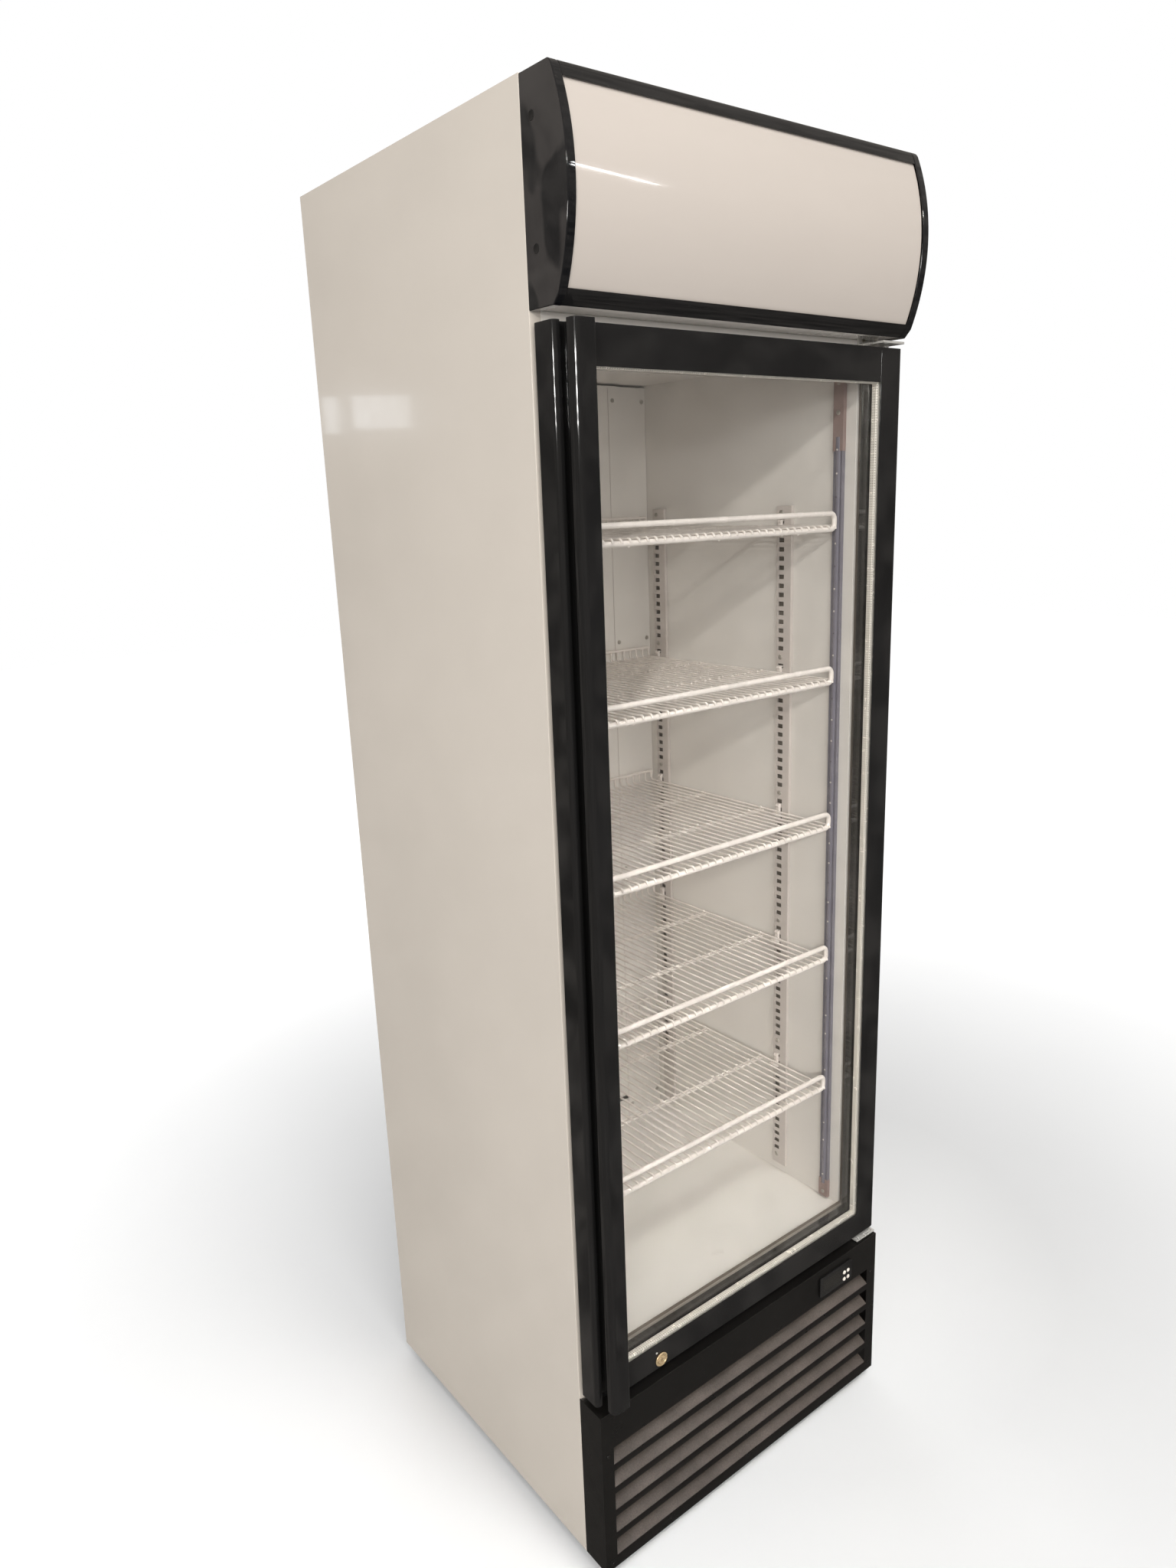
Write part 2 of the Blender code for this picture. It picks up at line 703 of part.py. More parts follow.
def duct_cover():
    """Formed back wall of the food compartment, with fan slots above and return slots below."""
    front = DUCT_DEPTH - DUCT_BULGE
    edge = INSIDE_HALF - 0.0004
    profile = [
        (-edge, DUCT_DEPTH),
        (-0.209, DUCT_DEPTH),
        (-0.188, front),
        (0.188, front),
        (0.209, DUCT_DEPTH),
        (edge, DUCT_DEPTH),
    ]
    span = (INSIDE_FLOOR + 0.0005, INSIDE_CEILING - 0.0035)
    cover = sheet("duct_cover", profile, span, "XY", SHEET, WHITE_LINER)
    slots = []
    fan_height = EVAPORATOR_FAN[2]
    for i in range(-3, 4):
        level = fan_height + i * 0.016
        reach = math.sqrt(0.060**2 - (i * 0.016) ** 2)
        slots.append(((-reach, front - 0.01, level - 0.004), (reach, front + 0.01, level + 0.004)))
    for i in range(9):
        x = -0.160 + i * 0.040
        slots.append(((x - 0.012, front - 0.01, 0.375), (x + 0.012, front + 0.01, 0.383)))
    cut(cover, boxes("duct_slots", slots))


# ---------------------------------------------------------------- compartment fittings


def pilasters():
    """Upright channels on the side walls that take the shelf clips."""
    wall = INSIDE_HALF - GAP
    face = wall - 0.0058
    for row, near in (("front", 0.117), ("rear", 0.4135)):
        far = near + 0.030
        profile = [(-wall, near), (-face, near), (-face, far), (-wall, far)]
        span = (0.350, 1.520)
        sheet(f"pilaster_{row}_left", profile, span, "XY", 0.0010, GREY_PAINT, inward=False)
        sheet(f"pilaster_{row}_right", mirrored(profile), span, "XY", 0.0010, GREY_PAINT, inward=False)


def led_strip():
    """Slim lamp on the right wall just behind the door, held by a bracket at each end."""
    wall = INSIDE_HALF - GAP
    profile = [
        (wall, 0.0188),
        (wall, 0.0360),
        (wall - 0.0060, 0.0345),
        (wall - 0.0083, 0.0310),
        (wall - 0.0083, 0.0238),
        (wall - 0.0060, 0.0203),
    ]
    strip = to_mesh(outline("led_strip", [profile], (0.360, 1.620), "XY", None))
    strip.data.materials.append(LED_GREY)
    brackets = [
        ((wall - 0.0045, 0.0178, 0.338), (wall - 0.0001, 0.0370, 0.372)),
        ((wall - 0.0045, 0.0178, 1.596), (wall - 0.0001, 0.0370, 1.705)),
    ]
    join(strip, boxes("led_brackets", brackets))


def shelf_mesh():
    """One wire shelf about the middle of its lower front rail's height."""
    wire = 0.0026
    reach = SHELF_HALF - 0.0045
    pitch = (2 * reach - wire) / (WIRES - 1)
    lines = [-reach + wire / 2 + i * pitch for i in range(WIRES)]
    low = (-reach, SHELF_FRONT - 0.0015, 0.0034)
    grid = boxes("shelf_grid", [(low, (reach, SHELF_BACK + wire / 2, 0.0066))])
    slots = []
    for left, right in zip(lines, lines[1:]):
        near = (left + wire / 2, SHELF_FRONT + 0.0025, 0.0)
        slots.append((near, (right - wire / 2, SHELF_BACK - wire / 2, 0.0100)))
    cut(grid, boxes("shelf_slots", slots))
    corner = 0.0085
    rise = 0.023
    end = SHELF_HALF - 0.004
    route = []
    for middle, start in (
        ((end - corner, corner), -90),
        ((end - corner, rise - corner), 0),
        ((-end + corner, rise - corner), 90),
        ((-end + corner, corner), 180),
    ):
        route += [(x, SHELF_FRONT, z) for x, z in arc(middle, corner, start, start + 90, 3)]
    rail = tube("shelf_front_rail", route, 0.004, None, cyclic=True)
    cross = []
    ends = []
    for share in (1 / 3, 2 / 3):
        depth = SHELF_FRONT + (SHELF_BACK - SHELF_FRONT) * share
        cross.append(((-reach, depth - 0.003, -0.0022), (reach, depth + 0.003, 0.0031)))
        for side in (-reach - 0.0003, reach - wire - 0.0003):
            ends.append(((side, depth - 0.002, 0.0), (side + wire + 0.0006, depth + 0.002, 0.0055)))
    uprights = []
    for x in lines[::3]:
        low = (x - 0.0011, SHELF_BACK - 0.0011, 0.0050)
        uprights.append((low, (x + 0.0011, SHELF_BACK + 0.0011, 0.0215)))
    rail_low, rail_high = (-reach, SHELF_BACK - 0.002, 0.0205), (reach, SHELF_BACK + 0.002, 0.0245)
    fence = boxes("shelf_fence_rail", [(rail_low, rail_high)])
    join(grid, rail, boxes("shelf_cross_rods", cross), boxes("shelf_rod_ends", ends))
    join(grid, boxes("shelf_uprights", uprights), fence)
    bpy.context.view_layer.update()
    evaluated = grid.evaluated_get(bpy.context.evaluated_depsgraph_get())
    mesh = bpy.data.meshes.new_from_object(evaluated)
    mesh.transform(Matrix.Translation(grid.matrix_world.translation - place(0, 0, 0)))
    mesh.name = "wire_shelf"
    mesh.materials.clear()
    mesh.materials.append(WIRE_WHITE)
    bpy.data.objects.remove(grid, do_unlink=True)
    return mesh


def shelves():
    mesh = shelf_mesh()
    for number, height in enumerate(SHELF_HEIGHTS, 1):
        shelf = bpy.data.objects.new(f"shelf_{number}", mesh)
        PARTS.objects.link(shelf)
        shelf.location = place(0, 0, height)


# ---------------------------------------------------------------- canopy

ARC_RADIUS = 0.276
ARC_CENTRE = (ARC_RADIUS - CANOPY_BULGE, 1.866)
CAP_WIDTH = 0.012


def canopy_arc(inset, low, high, steps):
    """Points up the bulging front, set in from the end caps' outline."""
    radius = ARC_RADIUS - inset
    start = 180 + math.degrees(math.asin((ARC_CENTRE[1] - low) / radius))
    end = 180 - math.degrees(math.asin((high - ARC_CENTRE[1]) / radius))
    return arc(ARC_CENTRE, radius, start, end, steps)


def end_cap(name, outer_x, inner_x):
    """Moulded end cap: a flat side with a rim turned inwards."""
    points = [
        (-0.0003, CANOPY_BOTTOM),
        (-0.0457, CANOPY_BOTTOM),
        *canopy_arc(0.0, 1.7550, 1.9735, 12),
        (-0.0545, 1.9770),
        (-0.0510, 1.9790),
        (-0.0003, 1.9790),
    ]
    bm = bmesh.new()
    face = bm.faces.new([bm.verts.new(place(outer_x, *p)) for p in points])
    moved = bmesh.ops.extrude_edge_only(bm, edges=list(face.edges))["geom"]
    rim = [v for v in moved if isinstance(v, bmesh.types.BMVert)]
    bmesh.ops.translate(bm, vec=(inner_x - outer_x, 0, 0), verts=rim)
    bmesh.ops.recalc_face_normals(bm, faces=bm.faces)
    mesh = bpy.data.meshes.new(name)
    bm.to_mesh(mesh)
    bm.free()
    cap = add_object(name, mesh, BLACK_GLOSS)
    thicken(cap, 0.0025, -1.0)
    holes = [((outer_x, -0.0200, 1.934), 0.0043, 0.02), ((outer_x, -0.0190, 1.805), 0.0043, 0.02)]
    cut(cap, rods(f"{name}_holes", holes, "X"))


def canopy():
    inner = HALF - CAP_WIDTH
    end_cap("canopy_end_cap_left", -HALF, -inner)
    end_cap("canopy_end_cap_right", HALF, inner)
    reach = inner - GAP
    span = (-reach, reach)
    lip = canopy_arc(0.0005, 1.9620, 1.9735, 2)
    top = [*lip, (-0.0540, 1.9765), (-0.0505, 1.9785), (-0.0010, 1.9785)]
    sheet("canopy_top_rail", top, span, "YZ", 0.0020, BLACK_PROFILE)
    bottom = [(-0.0440, 1.7447), *canopy_arc(0.0005, 1.7555, 1.7605, 1)]
    sheet("canopy_bottom_rail", bottom, span, "YZ", 0.0020, BLACK_PROFILE)
    panel = canopy_arc(0.0030, 1.7595, 1.9710, 12)
    sheet("canopy_sign_panel", panel, span, "YZ", 0.0030, SIGN)
    box_profile = [(-0.0062, 1.9750), (-0.0062, 1.7452), (-0.0420, 1.7452)]
    sheet("canopy_light_box", box_profile, span, "YZ", SHEET, WHITE_PAINT)
    lamp = rods("canopy_lamp", [((0.0, -0.0280, 1.860), 0.0130, 0.54)], "X", LAMP)
    join(lamp, boxes("lamp_foot", [((-0.270, -0.0240, 1.852), (0.270, -0.0077, 1.868))]))


# ---------------------------------------------------------------- hinges


def hinge_brackets():
    """Plated angle brackets bolted to the cabinet, each with the pin the door turns on."""
    near, far = -0.046, -0.0004
    specs = (
        ("hinge_bracket_top", 1.7370, 1.7400, (1.7370, 1.7750), 0.2970, (1.7130, 1.7380)),
        ("hinge_bracket_bottom", 0.2820, 0.2850, (0.2430, 0.2850), 0.3080, (0.2840, 0.3090)),
    )
    for name, low, high, flange, flange_x, pin in specs:
        bracket = boxes(name, [((0.262, near, low), (0.3085, far, high))], STEEL)
        upright = ((0.2625, far - 0.003, flange[0]), (flange_x, far, flange[1]))
        centre = (HINGE_X, HINGE_DEPTH, (pin[0] + pin[1]) / 2)
        pin_rod = rods(f"{name}_pin", [(centre, PIN_RADIUS, pin[1] - pin[0])], "Z", None, 24)
        join(bracket, boxes(f"{name}_flange", [upright]), pin_rod)


# ---------------------------------------------------------------- door

GROOVE_FRONT = -0.0408
GROOVE_BACK = -0.0212
OPENING_HALF = HALF - STILE


def door_frame():
    """Four frame profiles, each with the groove that holds the glazing."""
    inner = -OPENING_HALF
    groove = [
        (-HALF, DOOR_BACK),
        (inner, DOOR_BACK),
        (inner, GROOVE_BACK),
        (inner - REBATE, GROOVE_BACK),
        (inner - REBATE, GROOVE_FRONT),
        (inner, GROOVE_FRONT),
        (inner, DOOR_FRONT),
    ]
    corner = arc((-HALF + 0.006, DOOR_FRONT + 0.006), 0.006, 270, 180, 3)
    finger_slot = [(-0.2840, DOOR_FRONT), (-0.2840, -0.0310), (-0.2985, -0.0310), (-0.2985, -0.0395)]
    lip = arc((-0.3010, -0.0395), 0.0025, 360, 270, 2)[1:]
    span = (DOOR_BOTTOM, DOOR_TOP)
    left = outline("door_stile_left", [groove + finger_slot + lip + corner], span, "XY", BLACK_PROFILE)
    right = to_mesh(outline("door_stile_right", [mirrored(groove + corner)], span, "XY", None))
    right.data.materials.append(BLACK_PROFILE)
    holes = [((HINGE_X, HINGE_DEPTH, z), PIN_RADIUS + RUNNING, 0.056) for z in (DOOR_BOTTOM, DOOR_TOP)]
    cut(right, rods("hinge_pin_holes", holes, "Z", None, 24))
    bottom = [
        (DOOR_FRONT, DOOR_BOTTOM),
        (DOOR_BACK, DOOR_BOTTOM),
        (DOOR_BACK, RAIL_BOTTOM_TOP),
        (GROOVE_BACK, RAIL_BOTTOM_TOP),
        (GROOVE_BACK, RAIL_BOTTOM_TOP - REBATE),
        (GROOVE_FRONT, RAIL_BOTTOM_TOP - REBATE),
        (GROOVE_FRONT, RAIL_BOTTOM_TOP),
        (DOOR_FRONT, RAIL_BOTTOM_TOP),
    ]
    top = [
        (DOOR_FRONT, RAIL_TOP_BOTTOM),
        (GROOVE_FRONT, RAIL_TOP_BOTTOM),
        (GROOVE_FRONT, RAIL_TOP_BOTTOM + REBATE),
        (GROOVE_BACK, RAIL_TOP_BOTTOM + REBATE),
        (GROOVE_BACK, RAIL_TOP_BOTTOM),
        (DOOR_BACK, RAIL_TOP_BOTTOM),
        (DOOR_BACK, DOOR_TOP),
        (DOOR_FRONT, DOOR_TOP),
    ]
    reach = OPENING_HALF - GAP
    low_rail = to_mesh(outline("door_rail_bottom", [bottom], (-reach, reach), "YZ", None))
    low_rail.data.materials.append(BLACK_PROFILE)
    cut(low_rail, rods("lock_hole", [((LOCK_X, -0.025, LOCK_HEIGHT), 0.0095, 0.06)], "Y"))
    high_rail = outline("door_rail_top", [top], (-reach, reach), "YZ", BLACK_PROFILE)
    return [left, right, low_rail, high_rail]


def door_handle():
    """Full-height hooked grip on the free edge; fingers go into the slot behind its lip."""
    back = DOOR_FRONT - GAP
    front = -0.0695
    profile = [
        (-0.2703, back),
        (-0.2703, front + 0.002),
        (-0.2723, front),
        *arc((-0.2930, front + 0.008), 0.008, 270, 180, 4),
        (-0.3010, -0.0550),
        (-0.2990, -0.0530),
        (-0.2870, -0.0530),
        (-0.2848, -0.0521),
        (-0.2840, -0.0500),
        (-0.2840, back),
    ]
    return outline("door_handle", [profile], (DOOR_BOTTOM, DOOR_TOP), "XY", BLACK_PROFILE)


def glazing():
    """Two panes with the hollow spacer bar between them."""
    reach = OPENING_HALF + REBATE - 0.001
    low, high = RAIL_BOTTOM_TOP - REBATE + 0.001, RAIL_TOP_BOTTOM + REBATE - 0.001
    outer = box("outer_glass", (-reach, -0.0405, low), (reach, -0.0370, high), GLASS)
    inner = box("inner_glass", (-reach, -0.0260, low), (reach, -0.0215, high), GLASS)
    ring = []
    for step in (0.0075, -0.0015):
        corner = (OPENING_HALF + step, RAIL_TOP_BOTTOM + step)
        ring.append(rectangle((-corner[0], RAIL_BOTTOM_TOP - step), corner))
    spacer = outline("glass_spacer", ring, (-0.0367, -0.0263), "XZ", ALUMINIUM)
    return [outer, inner, spacer]


def gasket():
    """Magnetic seal round the back of the door; it stops short of the hinge axis."""
    edge = HINGE_X - 0.001
    ring = [
        rectangle((-edge, 0.3145), (edge, 1.7185)),
        rectangle((-edge + 0.020, 0.3345), (edge - 0.020, 1.6985)),
    ]
    return outline("door_gasket", ring, (DOOR_BACK + GAP, -0.0004), "XZ", RUBBER)


def lock():
    """Cam lock in the lower rail; a quarter turn drops the cam behind the grille's edge."""
    housing = rods("lock_housing", [((LOCK_X, -0.02595, LOCK_HEIGHT), 0.0092, 0.0341)], "Y", NICKEL, 24)
    join(housing, rods("lock_flange", [((LOCK_X, -0.0432, LOCK_HEIGHT), 0.0110, 0.0018)], "Y", None, 24))
    cut(housing, rods("lock_bore", [((LOCK_X, -0.025, LOCK_HEIGHT), 0.0070 + RUNNING, 0.08)], "Y", None, 24))
    plug = rods("lock_plug", [((LOCK_X, -0.02420, LOCK_HEIGHT), 0.0070, 0.0410)], "Y", NICKEL, 24)
    cam_low = (LOCK_X - 0.006, -0.0047, LOCK_HEIGHT - 0.006)
    cam_high = (LOCK_X + 0.033, -0.0032, LOCK_HEIGHT + 0.006)
    join(plug, boxes("lock_cam", [(cam_low, cam_high)]))
    key_low = (LOCK_X - 0.0006, -0.050, LOCK_HEIGHT - 0.0032)
    key_high = (LOCK_X + 0.0006, -0.040, LOCK_HEIGHT + 0.0032)
    cut(plug, boxes("key_slot", [(key_low, key_high)]))
    empty = axis_empty("lock_turn", LOCK_X, -0.0250, LOCK_HEIGHT)
    carry(empty, plug)
    return housing, empty


def door():
    hinge = axis_empty("door_hinge", HINGE_X, HINGE_DEPTH, DOOR_BOTTOM)
    housing, lock_axis = lock()
    carry(hinge, *door_frame(), door_handle(), *glazing(), gasket(), housing, lock_axis)


# ---------------------------------------------------------------- assembly

side_panels()
top_panel()
back_panels()
foam_insulation()
inner_liner()
base_tray()
front_grille()
controller()
levelling_feet()
compressor()
drain_pan()
condenser()
condenser_fan()
rear_services()
evaporator()
evaporator_fan()
duct_cover()
pilasters()
led_strip()
shelves()
canopy()
hinge_brackets()
door()
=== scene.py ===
"""The looks of an upright reach-in refrigerator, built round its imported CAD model.

Places are written (x, depth, height): depth runs back from the cabinet's front plane and
height up from the lower edge of its side panels.  Lengths are in metres.
"""

import math

import bmesh
import bpy
from mathutils import Matrix, Vector


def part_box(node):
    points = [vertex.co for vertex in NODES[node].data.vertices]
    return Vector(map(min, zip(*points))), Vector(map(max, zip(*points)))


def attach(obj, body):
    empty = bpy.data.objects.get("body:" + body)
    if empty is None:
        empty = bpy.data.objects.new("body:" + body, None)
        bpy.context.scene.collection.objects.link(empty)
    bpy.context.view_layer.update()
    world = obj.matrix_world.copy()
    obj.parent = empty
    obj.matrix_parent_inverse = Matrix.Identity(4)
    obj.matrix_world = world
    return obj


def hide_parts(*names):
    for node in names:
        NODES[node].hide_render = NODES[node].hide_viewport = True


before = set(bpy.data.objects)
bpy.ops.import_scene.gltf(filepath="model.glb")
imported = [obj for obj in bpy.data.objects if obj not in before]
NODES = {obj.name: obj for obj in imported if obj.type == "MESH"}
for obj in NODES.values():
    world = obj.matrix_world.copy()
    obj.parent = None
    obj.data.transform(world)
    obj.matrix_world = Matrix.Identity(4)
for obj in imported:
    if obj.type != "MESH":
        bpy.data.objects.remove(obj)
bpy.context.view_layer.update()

# ---------------------------------------------------------------- places read from the CAD

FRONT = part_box("side_panel_left")[0].y
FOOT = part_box("side_panel_left")[0].z


def place(x, depth, height):
    """The point of a place."""
    return Vector((x, FRONT + depth, FOOT + height))


def local_box(node):
    """A node's box as two places."""
    low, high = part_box(node)
    shift = Vector((0, FRONT, FOOT))
    return low - shift, high - shift


# ---------------------------------------------------------------- materials


class Graph:
    """Short names for building the nodes of one material, or of the world."""

    def __init__(self, name, group=bpy.data.materials, shader="Principled BSDF", coords="Object"):
        self.mat = group.new(name)
        self.mat.use_nodes = True
        self.nodes = self.mat.node_tree.nodes
        self.links = self.mat.node_tree.links
        self.shader = self.nodes[shader]
        self.coords = self.add("ShaderNodeTexCoord").outputs[coords]

    def add(self, kind, **settings):
        """A new node with its settings."""
        node = self.nodes.new(kind)
        for key, value in settings.items():
            setattr(node, key, value)
        return node

    def join(self, source, target):
        """Links an output to an input."""
        self.links.new(source, target)

    def fill(self, socket, value):
        """Sets an input to a number or a colour, or links it to an output."""
        if isinstance(value, tuple):
            socket.default_value = (*value, 1.0)
        elif isinstance(value, (int, float)):
            socket.default_value = value
        else:
            self.join(value, socket)

    def scaled(self, scale):
        """The coordinates, scaled along each axis."""
        mapping = self.add("ShaderNodeMapping")
        mapping.inputs["Scale"].default_value = scale
        self.join(self.coords, mapping.inputs["Vector"])
        return mapping.outputs["Vector"]

    def noise(self, scale, detail=3.0, stretch=None, rough=0.5):
        """Cloudy noise about 0.5."""
        node = self.add("ShaderNodeTexNoise")
        node.inputs["Scale"].default_value = scale
        node.inputs["Detail"].default_value = detail
        node.inputs["Roughness"].default_value = rough
        self.join(self.scaled(stretch) if stretch else self.coords, node.inputs["Vector"])
        return node.outputs["Fac"]

    def cells(self, scale, output="Color"):
        """Cell pattern: a colour for each cell, or the distance from its middle."""
        node = self.add("ShaderNodeTexVoronoi")
        node.inputs["Scale"].default_value = scale
        self.join(self.coords, node.inputs["Vector"])
        return node.outputs[output]

    def math(self, operation, a, b=0.0, clamp=False):
        """One sum of numbers or outputs."""
        node = self.add("ShaderNodeMath", operation=operation, use_clamp=clamp)
        self.fill(node.inputs[0], a)
        self.fill(node.inputs[1], b)
        return node.outputs[0]

    def remap(self, value, low, high, to_low, to_high):
        """A value moved from one range to another, and kept inside it."""
        node = self.add("ShaderNodeMapRange")
        for key, number in zip((1, 2, 3, 4), (low, high, to_low, to_high)):
            node.inputs[key].default_value = number
        self.join(value, node.inputs[0])
        return node.outputs[0]

    def blend(self, factor, first, second):
        """A mix of two colours."""
        node = self.add("ShaderNodeMix", data_type="RGBA")
        for key, value in ((0, factor), (6, first), (7, second)):
            self.fill(node.inputs[key], value)
        return node.outputs[2]

    def bump(self, height, strength, distance, under=None):
        """Normals pushed by a height, on top of those under it."""
        node = self.add("ShaderNodeBump")
        node.inputs["Strength"].default_value = strength
        node.inputs["Distance"].default_value = distance
        self.join(height, node.inputs["Height"])
        if under is not None:
            self.join(under, node.inputs["Normal"])
        return node.outputs["Normal"]

    def split(self, vector=None):
        """The three parts of a vector, by default the place on the object."""
        node = self.add("ShaderNodeSeparateXYZ")
        self.join(vector or self.coords, node.inputs[0])
        return node.outputs

    def facing(self):
        """The three parts of the surface's normal."""
        return self.split(self.add("ShaderNodeNewGeometry").outputs["Normal"])

    def swing(self, value, color, low, high):
        """A colour that follows a noise between two of its own shades."""
        share = self.remap(value, 0.3, 0.7, 0.0, 1.0)
        return self.blend(share, shade(color, low), shade(color, high))

    def set(self, **values):
        """Fills the shader's inputs and hands back the finished material."""
        for key, value in values.items():
            self.fill(self.shader.inputs[key.replace("_", " ")], value)
        return self.mat


def shade(color, factor):
    """A colour made darker or lighter."""
    return tuple(min(1.0, c * factor) for c in color)


def coated(
    name,
    color,
    rough,
    tint=0.04,
    tint_scale=5.0,
    rough_spread=0.06,
    bump=0.05,
    bump_scale=900.0,
    stretch=None,
    dust=0.0,
    dust_color=(0.3, 0.28, 0.25),
    coat=0.0,
    coat_rough=0.08,
    ripple=0.0,
):
    """A painted, plated or moulded surface: drifting tone, uneven gloss, fine texture, dust."""
    g = Graph(name)
    base = g.swing(g.noise(tint_scale, 4.0), color, 1 - tint, 1 + tint)
    rough_noise = g.noise(30.0, 5.0, stretch, 0.6)
    roughness = g.remap(rough_noise, 0.3, 0.7, max(0.02, rough - rough_spread), rough + rough_spread)
    if dust:
        specks = g.remap(g.noise(420.0, 6.0, None, 0.7), 0.56, 0.72, 0.0, 1.0)
        overlay = g.remap(g.noise(9.0, 5.0), 0.42, 0.7, 0.0, 0.55)
        upward = g.math("MAXIMUM", g.facing()["Z"], 0.0)
        resting = g.math("ADD", g.math("MULTIPLY", upward, 0.8), overlay)
        amount = g.math("MULTIPLY", g.math("ADD", g.math("MULTIPLY", specks, resting), 0.05), dust, True)
        base = g.blend(amount, base, dust_color)
        roughness = g.math("ADD", roughness, g.math("MULTIPLY", amount, 0.5), True)
    normal = g.bump(g.noise(bump_scale, 2.0, stretch), bump, 0.0002)
    if ripple:
        normal = g.bump(g.noise(7.0, 1.0), ripple, 0.02, normal)
    return g.set(
        Base_Color=base,
        Roughness=roughness,
        Normal=normal,
        Coat_Weight=coat,
        Coat_Roughness=coat_rough,
    )


def gloss_with_painted_reflection(name, color, reflection_tone, rough):
    """Glossy moulded plastic whose two flat sides carry a painted reflection: a brownish tone in blotches and
    streaks, standing in for the mottled room the gloss mirrors, under a sprinkle of dust specks.
    """
    g = Graph(name)
    flat = g.remap(g.math("ABSOLUTE", g.facing()["X"]), 0.9, 0.97, 0.0, 1.0)
    reflection_blots = g.remap(g.noise(17.0, 1.5, (1.0, 1.0, 0.55)), 0.43, 0.47, 0.0, 1.0)
    streaks = g.remap(g.noise(30.0, 6.0, (1.0, 1.0, 0.6), 0.7), 0.3, 0.7, 0.7, 1.15)
    # Painted reflection: the mask that lays the brownish reflection tone on the flat sides.
    overlay = g.math("MULTIPLY", g.math("MULTIPLY", reflection_blots, streaks), flat, True)
    specks = g.remap(g.noise(420.0, 6.0, None, 0.7), 0.6, 0.74, 0.0, 0.25)
    base = g.blend(specks, g.blend(overlay, color, reflection_tone), (0.14, 0.13, 0.115))
    normal = g.bump(g.noise(260.0, 2.0), 0.015, 0.0002, g.bump(g.noise(7.0, 1.0), 0.12, 0.02))
    return g.set(
        Base_Color=base,
        Roughness=g.math("ADD", g.math("MULTIPLY", overlay, 0.1), rough),
        Normal=normal,
        Coat_Weight=0.8,
        Coat_Roughness=0.015,
    )


def brushed(name, color, rough, stretch, tint=0.08, metallic=1.0):
    """Drawn or rolled metal with fine lines along one direction."""
    g = Graph(name)
    lines = g.noise(60.0, 8.0, stretch, 0.75)
    patches = g.noise(8.0, 4.0)
    base = g.blend(g.remap(lines, 0.25, 0.75, 0.0, 1.0), shade(color, 1 - tint), shade(color, 1 + tint))
    base = g.blend(g.remap(patches, 0.45, 0.75, 0.0, 0.35), base, shade(color, 0.72))
    roughness = g.math(
        "ADD", g.remap(lines, 0.2, 0.8, rough - 0.08, rough + 0.08), g.remap(patches, 0.4, 0.8, 0.0, 0.1)
    )
    return g.set(
        Base_Color=base,
        Roughness=roughness,
        Metallic=metallic,
        Normal=g.bump(lines, 0.25, 0.00015),
    )


def spangled(name, color, rough):
    """Hot-dip galvanised sheet with its crystal pattern."""
    g = Graph(name)
    crystals = g.add("ShaderNodeSeparateColor")
    g.join(g.cells(55.0), crystals.inputs[0])
    fine = g.noise(160.0, 4.0)
    base = g.blend(crystals.outputs[0], shade(color, 0.82), shade(color, 1.1))
    roughness = g.math("ADD", g.math("MULTIPLY", crystals.outputs[1], 0.18), rough)
    roughness = g.math("ADD", roughness, g.remap(fine, 0.3, 0.7, -0.04, 0.06))
    return g.set(Base_Color=base, Roughness=roughness, Metallic=0.55, Normal=g.bump(fine, 0.08, 0.0003))


def pane(name, tint, smear):
    """Float glass: clear, mirroring more at grazing angles, with faint smears in its gloss."""
    g = Graph(name)
    clear = g.add("ShaderNodeBsdfTransparent")
    clear.inputs["Color"].default_value = (*tint, 1.0)
    mirror = g.add("ShaderNodeBsdfAnisotropic")
    mirror.inputs["Color"].default_value = (1.0, 1.0, 1.0, 1.0)
    streaks = g.noise(3.0, 5.0, (1.0, 1.0, 0.35), 0.65)
    g.join(g.remap(streaks, 0.35, 0.75, 0.0, smear), mirror.inputs["Roughness"])
    facing = g.add("ShaderNodeLayerWeight")
    facing.inputs["Blend"].default_value = 0.5
    grazing = g.math("POWER", facing.outputs["Facing"], 5.0)
    mix = g.add("ShaderNodeMixShader")
    g.join(g.math("ADD", g.math("MULTIPLY", grazing, 0.96), 0.04), mix.inputs[0])
    g.join(clear.outputs[0], mix.inputs[1])
    g.join(mirror.outputs[0], mix.inputs[2])
    g.nodes.remove(g.shader)
    g.join(mix.outputs[0], g.nodes["Material Output"].inputs["Surface"])
    return g.mat


